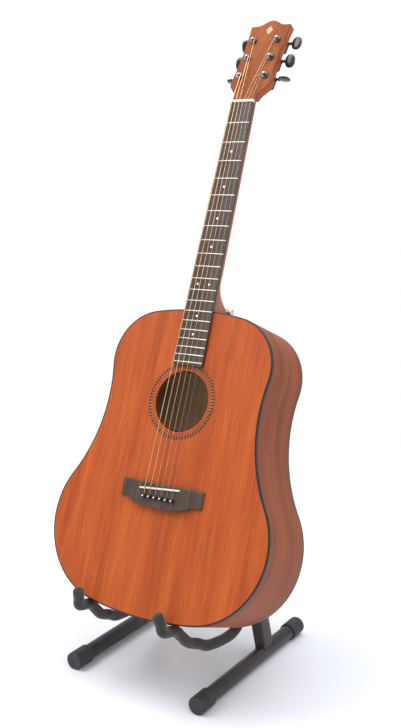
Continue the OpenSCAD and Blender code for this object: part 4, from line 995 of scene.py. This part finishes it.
def tail_edge(x):
    tail, lower = arc_centres()[:2]
    tangent = lower.x * TAIL_R / (TAIL_R - LOWER_R)
    if abs(x) < tangent:
        return TAIL_R - math.sqrt(TAIL_R ** 2 - x * x)
    return lower.y - math.sqrt(LOWER_R ** 2 - (abs(x) - lower.x) ** 2)


def tail_point(x, depth):
    x -= 1000 * GUITAR_AT[0]
    return GUITAR_MM @ Vector((x, tail_edge(x), -depth))


def front_at(z):
    return Vector((FOOT_X - (z - TUBE_Z) * math.tan(SPREAD) / math.cos(LEG_BACK),
                   50 - 15 / math.cos(LEG_BACK) + (z - TUBE_Z) * math.tan(LEG_BACK), z))


def arm_points():
    """Points of a cradle rod, as in the part: hook, run under the body, rise to the plate."""
    lean, contact, hook_x = math.radians(90) - GUITAR_TURN[0], 20, 82
    gy, gz = [1000 * v for v in GUITAR_AT[1:]]
    low = min(tail_point(hook_x, contact).z, tail_point(-hook_x, contact).z)
    rest_y = tail_point(hook_x, contact).y
    under = 9 / math.cos(lean) + 0.6

    def below(d, drop):
        return (hook_x + d * 0.1, rest_y + (d - contact) * math.cos(lean),
                low - (d - contact) * math.sin(lean) - under - drop)
    end = front_at(ARM_Z) + Vector((0, -4, 0))
    return [(hook_x - 4, gy - 16, gz + 20), (hook_x - 2, gy - 13, gz + 10), (hook_x, gy - 9, gz - 4),
            below(20, 0), below(34, 7), below(54, 18), below(80, 20), below(110, 22),
            (hook_x + 14, gy + 150, gz - 78), (hook_x + 17, gy + 176, gz - 72),
            (hook_x + 18, gy + 192, gz - 54), (hook_x + 17, gy + 198, gz - 32),
            (hook_x + 12, end.y - 26, gz - 8), end - Vector((-3, 11, 3)), end + Vector((0, 1, 0))]


def rest_points():
    """Points of a back rest's rod: along behind the guitar's back, then to its plate."""
    turn = GUITAR_MM.to_3x3()
    angle = math.atan(TAPER)
    normal = turn @ Vector((0, math.sin(angle), -math.cos(angle)))
    point = GUITAR_MM @ Vector((0, 0, -TAIL_DEPTH))
    start = front_at(REST_Z) + Vector((0, -4, 0))
    x = -start.x - 66
    line_y = (point.y - (normal.x * (x - point.x) + normal.z * (REST_Z - point.z)) / normal.y
              + (10 + 0.3) / normal.y)
    return ([(start.x + k, line_y, REST_Z) for k in range(66, 16, -12)]
            + [(start.x + 7, line_y + 1.5, REST_Z), (start.x + 1, line_y + 7, REST_Z),
               tuple(start + Vector((0, 1, 0)))])


def foam_sleeve(points, r, bare):
    """Foam over a rod up to its bare last spans: slightly uneven, its free end closed and rounded."""
    path = spline(points, 10, len(points) - 1 - bare)
    lead = (path[0] - path[1]).normalized()

    def radius(s):
        return r - 0.12 + 0.12 * math.sin(s * 0.21) + 0.08 * math.sin(s * 0.083 + 1)
    return tube([path[0] + lead * 4.4] + path, radius, 28, 5)


def stand_side(side):
    """One leg with its foot, caps, cradle arm and back rest. side is -1 for left."""
    name = "left" if side < 0 else "right"
    body = name + "_leg"
    flip = MIRROR if side < 0 else Matrix.Identity(4)
    row = flip @ ROW
    # tubes: upright with rounded corners and a half-round top, foot tube, weld bead
    tubes = Parts()
    up_mm = ROW.inverted() @ UP

    def upright(inset):
        h = UPRIGHT[0] / 2 - inset
        low = -UPRIGHT_LEN
        return ([(-h, low), (h, low), (h, low / 2), (h, 0)]
                + [(h * math.cos(math.radians(a)), h * math.sin(math.radians(a))) for a in range(9, 180, 9)]
                + [(-h, 0), (-h, low / 2)])
    tubes.add(slab(upright, -UPRIGHT[1] / 2, UPRIGHT[1] / 2, 2.6, 5),
              at=up_mm @ Matrix.Rotation(math.radians(90), 4, "X"))
    foot = [(TUBE_R - 1.5, -FOOT_LEN / 2), (TUBE_R, -FOOT_LEN / 2), (TUBE_R, FOOT_LEN / 2),
            (TUBE_R - 1.5, FOOT_LEN / 2)]
    tubes.add(lathe_ring(foot, 48), at=Matrix.Translation((FOOT_X, 0, TUBE_Z))
              @ Matrix.Rotation(math.radians(90), 4, "X"))
    bead = []
    for x, y in rounded_box(UPRIGHT[0] + 1, UPRIGHT[1] + 1, 3, 5)(0):
        p, u = up_mm @ Vector((x, y, -UPRIGHT_LEN)), up_mm.to_3x3() @ Vector((0, 0, 1))
        fx, fz = p.x - FOOT_X, p.z - TUBE_Z
        a, b, c = u.x ** 2 + u.z ** 2, 2 * (fx * u.x + fz * u.z), fx * fx + fz * fz - (TUBE_R + 0.4) ** 2
        bead.append(p + u * (-b + math.sqrt(max(b * b - 4 * a * c, 0))) / (2 * a))
    wobble = [q + (q - Vector((FOOT_X, 50, TUBE_Z))).normalized() * 0.25 * math.sin(k * 2.3)
              for k, q in enumerate(bead)]
    tubes.make(name + "_tubes", row, body, "stand_steel", [POWDER], (name + "_leg",), sharp=45)
    weld = Parts()
    for q in wobble:
        drop = lathe([(0, -1.3), (1.0, -0.9), (1.5, 0), (1.0, 0.9), (0, 1.3)], 10)
        weld.add(drop, at=Matrix.Translation(q))
    weld.make(name + "_weld", row, body, "stand_steel", [POWDER], (), sharp=60)
    # rubber caps with a grooved mouth and a flat sole
    caps = Parts()
    profile = ([(12.6, 0), (14.6, 0), (15, 0.5), (15, 4), (14.5, 4.5), (14.5, 5.6), (15, 6.1), (15, 33.2)]
               + round_corner(12.6, 33.6, 2.4, 0, 80, 5) + [(11.5, 36), (10.8, 35.6), (0, 35.5)])
    for s in (-1, 1):
        verts, faces, uvs = lathe(profile, 48)
        at = Matrix.Translation((FOOT_X, s * 129, TUBE_Z)) @ Matrix.Rotation(math.radians(-90 * s), 4, "X")
        verts = [at @ Vector(v) for v in verts]
        caps.add(([(v.x, v.y, max(v.z, 0.0)) for v in verts], faces, uvs))
    caps.make(name + "_caps", row, body, "foot_rubber", [RUBBER], (name + "_foot_caps",), sharp=40)
    # cradle arm and back rest
    for label, points, r, bare, plate_z, plate_h in (("cradle", arm_points(), 9, 5 / 3, ARM_Z, 46),
                                                     ("rest", rest_points(), 10, 5 / 2, REST_Z, 30)):
        rods = Parts()
        rods.add(tube(spline(points, 8), 4, 16, 2))
        down = (HINGE_Z - plate_z) / math.cos(LEG_BACK) / math.cos(SPREAD)
        rods.add(slab(rounded_box(18, plate_h, 3), 0.02, 4, 0.7),
                 at=up_mm @ Matrix.Translation((0, -15, -down)) @ Matrix.Rotation(math.radians(90), 4, "X"))
        rods.make(f"{name}_{label}_bar", row, body, "stand_steel", [POWDER],
                  (f"{name}_{label}_rod",), sharp=45)
        made = piece(f"{name}_{label}_sleeve", foam_sleeve(points, r, bare), row, body, [FOAM],
                     (f"{name}_{label}_foam",), sharp=60)


# ---------- carried-over CAD nodes ----------
def dress_nodes():
    """Materials for the CAD nodes that stay, with eased edges on the bracket and its bolts."""
    plan = {"soundboard": MAHOGANY, "back_plate": BACK_WOOD, "linings": SPRUCE, "end_blocks": NECK_WOOD,
            "soundboard_braces": SPRUCE, "back_braces": SPRUCE, "bridge_plate": SPRUCE, "heel_cap": BINDING,
            "truss_rod": STEEL, "fretboard": ROSEWOOD, "position_dots": PEARL, "headstock_emblem": GOLD_PEARL,
            "tuner_screws": TUNER_BLACK, "hinge_bracket": POWDER, "hinge_bolts": ZINC,
            "left_leg_screws": ZINC, "right_leg_screws": ZINC}
    plan.update({f"tuner_post_{i}": POST_CHROME for i in range(1, 7)})
    for name, mat in plan.items():
        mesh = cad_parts[name].data
        mesh.materials.clear()
        mesh.materials.append(mat)
    for name, width in (("hinge_bracket", 0.0012), ("hinge_bolts", 0.0004)):
        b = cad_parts[name].modifiers.new("eased", "BEVEL")
        b.width, b.segments, b.limit_method, b.angle_limit = width, 2, "ANGLE", math.radians(40)
        b.use_clamp_overlap = True


def studio():
    """Pale floor, white surround, soft key from the left, and the camera."""
    floor = bpy.data.meshes.new("floor")
    s = 12
    floor.from_pydata([(-s, -s, 0), (s, -s, 0), (s, s, 0), (-s, s, 0)], [], [(0, 1, 2, 3)])
    m, tree, shader = material("floor_paper", Roughness=0.9, Specular_IOR_Level=0.1)
    soft = noise(tree, row_mm(tree, (300, 300, 300)), 2, 0.5)
    tree.links.new(ramp(tree, soft, [(0.3, "#EEF2FA"), (0.7, "#F2F6FD")]), shader.inputs["Base Color"])
    # further out the paper is lit to plain white, so that no horizon shows
    away = add(tree, "ShaderNodeVectorMath", {0: row_mm(tree)}, operation="LENGTH")
    fade = add(tree, "ShaderNodeMapRange",
               {"Value": away.outputs["Value"], "From Min": 450, "From Max": 1300},
               interpolation_type="SMOOTHSTEP")
    glow = add(tree, "ShaderNodeEmission", {"Color": (1, 1, 1, 1), "Strength": 1.0})
    paper = add(tree, "ShaderNodeMixShader", {0: fade.outputs[0], 1: shader.outputs[0], 2: glow.outputs[0]})
    tree.links.new(paper.outputs[0], tree.nodes["Material Output"].inputs["Surface"])
    floor.materials.append(m)
    ground = bpy.data.objects.new("floor", floor)
    bpy.context.scene.collection.objects.link(ground)
    world = bpy.data.worlds.new("surround")
    world.use_nodes = True
    bpy.context.scene.world = world
    tree = world.node_tree
    tree.nodes.clear()
    seen = add(tree, "ShaderNodeLightPath").outputs["Is Camera Ray"]
    lit = add(tree, "ShaderNodeBackground", {"Color": (1, 1, 1, 1), "Strength": 0.72})
    white = add(tree, "ShaderNodeBackground", {"Color": (1, 1, 1, 1), "Strength": 1.05})
    both = add(tree, "ShaderNodeMixShader", {0: seen, 1: lit.outputs[0], 2: white.outputs[0]})
    add(tree, "ShaderNodeOutputWorld", {"Surface": both.outputs[0]})
    for name, at, size, power in (("key", (-1.6, -1.2, 3.1), 2.0, 58), ("fill", (1.7, -1.1, 2.6), 1.6, 12),
                                  ("top", (0.2, 0.3, 3.2), 2.6, 52)):
        lamp = bpy.data.lights.new(name, "AREA")
        lamp.shape, lamp.size, lamp.energy = "SQUARE", size, power
        obj = bpy.data.objects.new(name, lamp)
        obj.location = at
        obj.rotation_euler = (Vector((0.02, 0.0, 0.45)) - Vector(at)).to_track_quat("-Z", "Y").to_euler()
        bpy.context.scene.collection.objects.link(obj)
    cam = bpy.data.cameras.new("camera")
    cam.lens, cam.sensor_width, cam.sensor_fit = 51.63, 36, "AUTO"
    obj = bpy.data.objects.new("camera", cam)
    forward, right = Vector((-0.5334, 0.8151, -0.2262)), Vector((0.8355, 0.5494, 0.0099))
    up = right.cross(forward)
    obj.matrix_world = Matrix.Translation((0.9210, -1.3814, 0.8973)) @ Matrix(
        (right, up, -forward)).transposed().to_4x4()
    bpy.context.scene.collection.objects.link(obj)
    bpy.context.scene.camera = obj
    bpy.context.scene.view_settings.view_transform = "Standard"


studio()
dress_nodes()
ribs()
bindings()
rosette()
bridge()
saddle_and_nut()
bridge_pins()
strap_knobs()
neck()
headstock()
frets()
tuners()
tuner_buttons()
strings()
stand_side(-1)
stand_side(1)
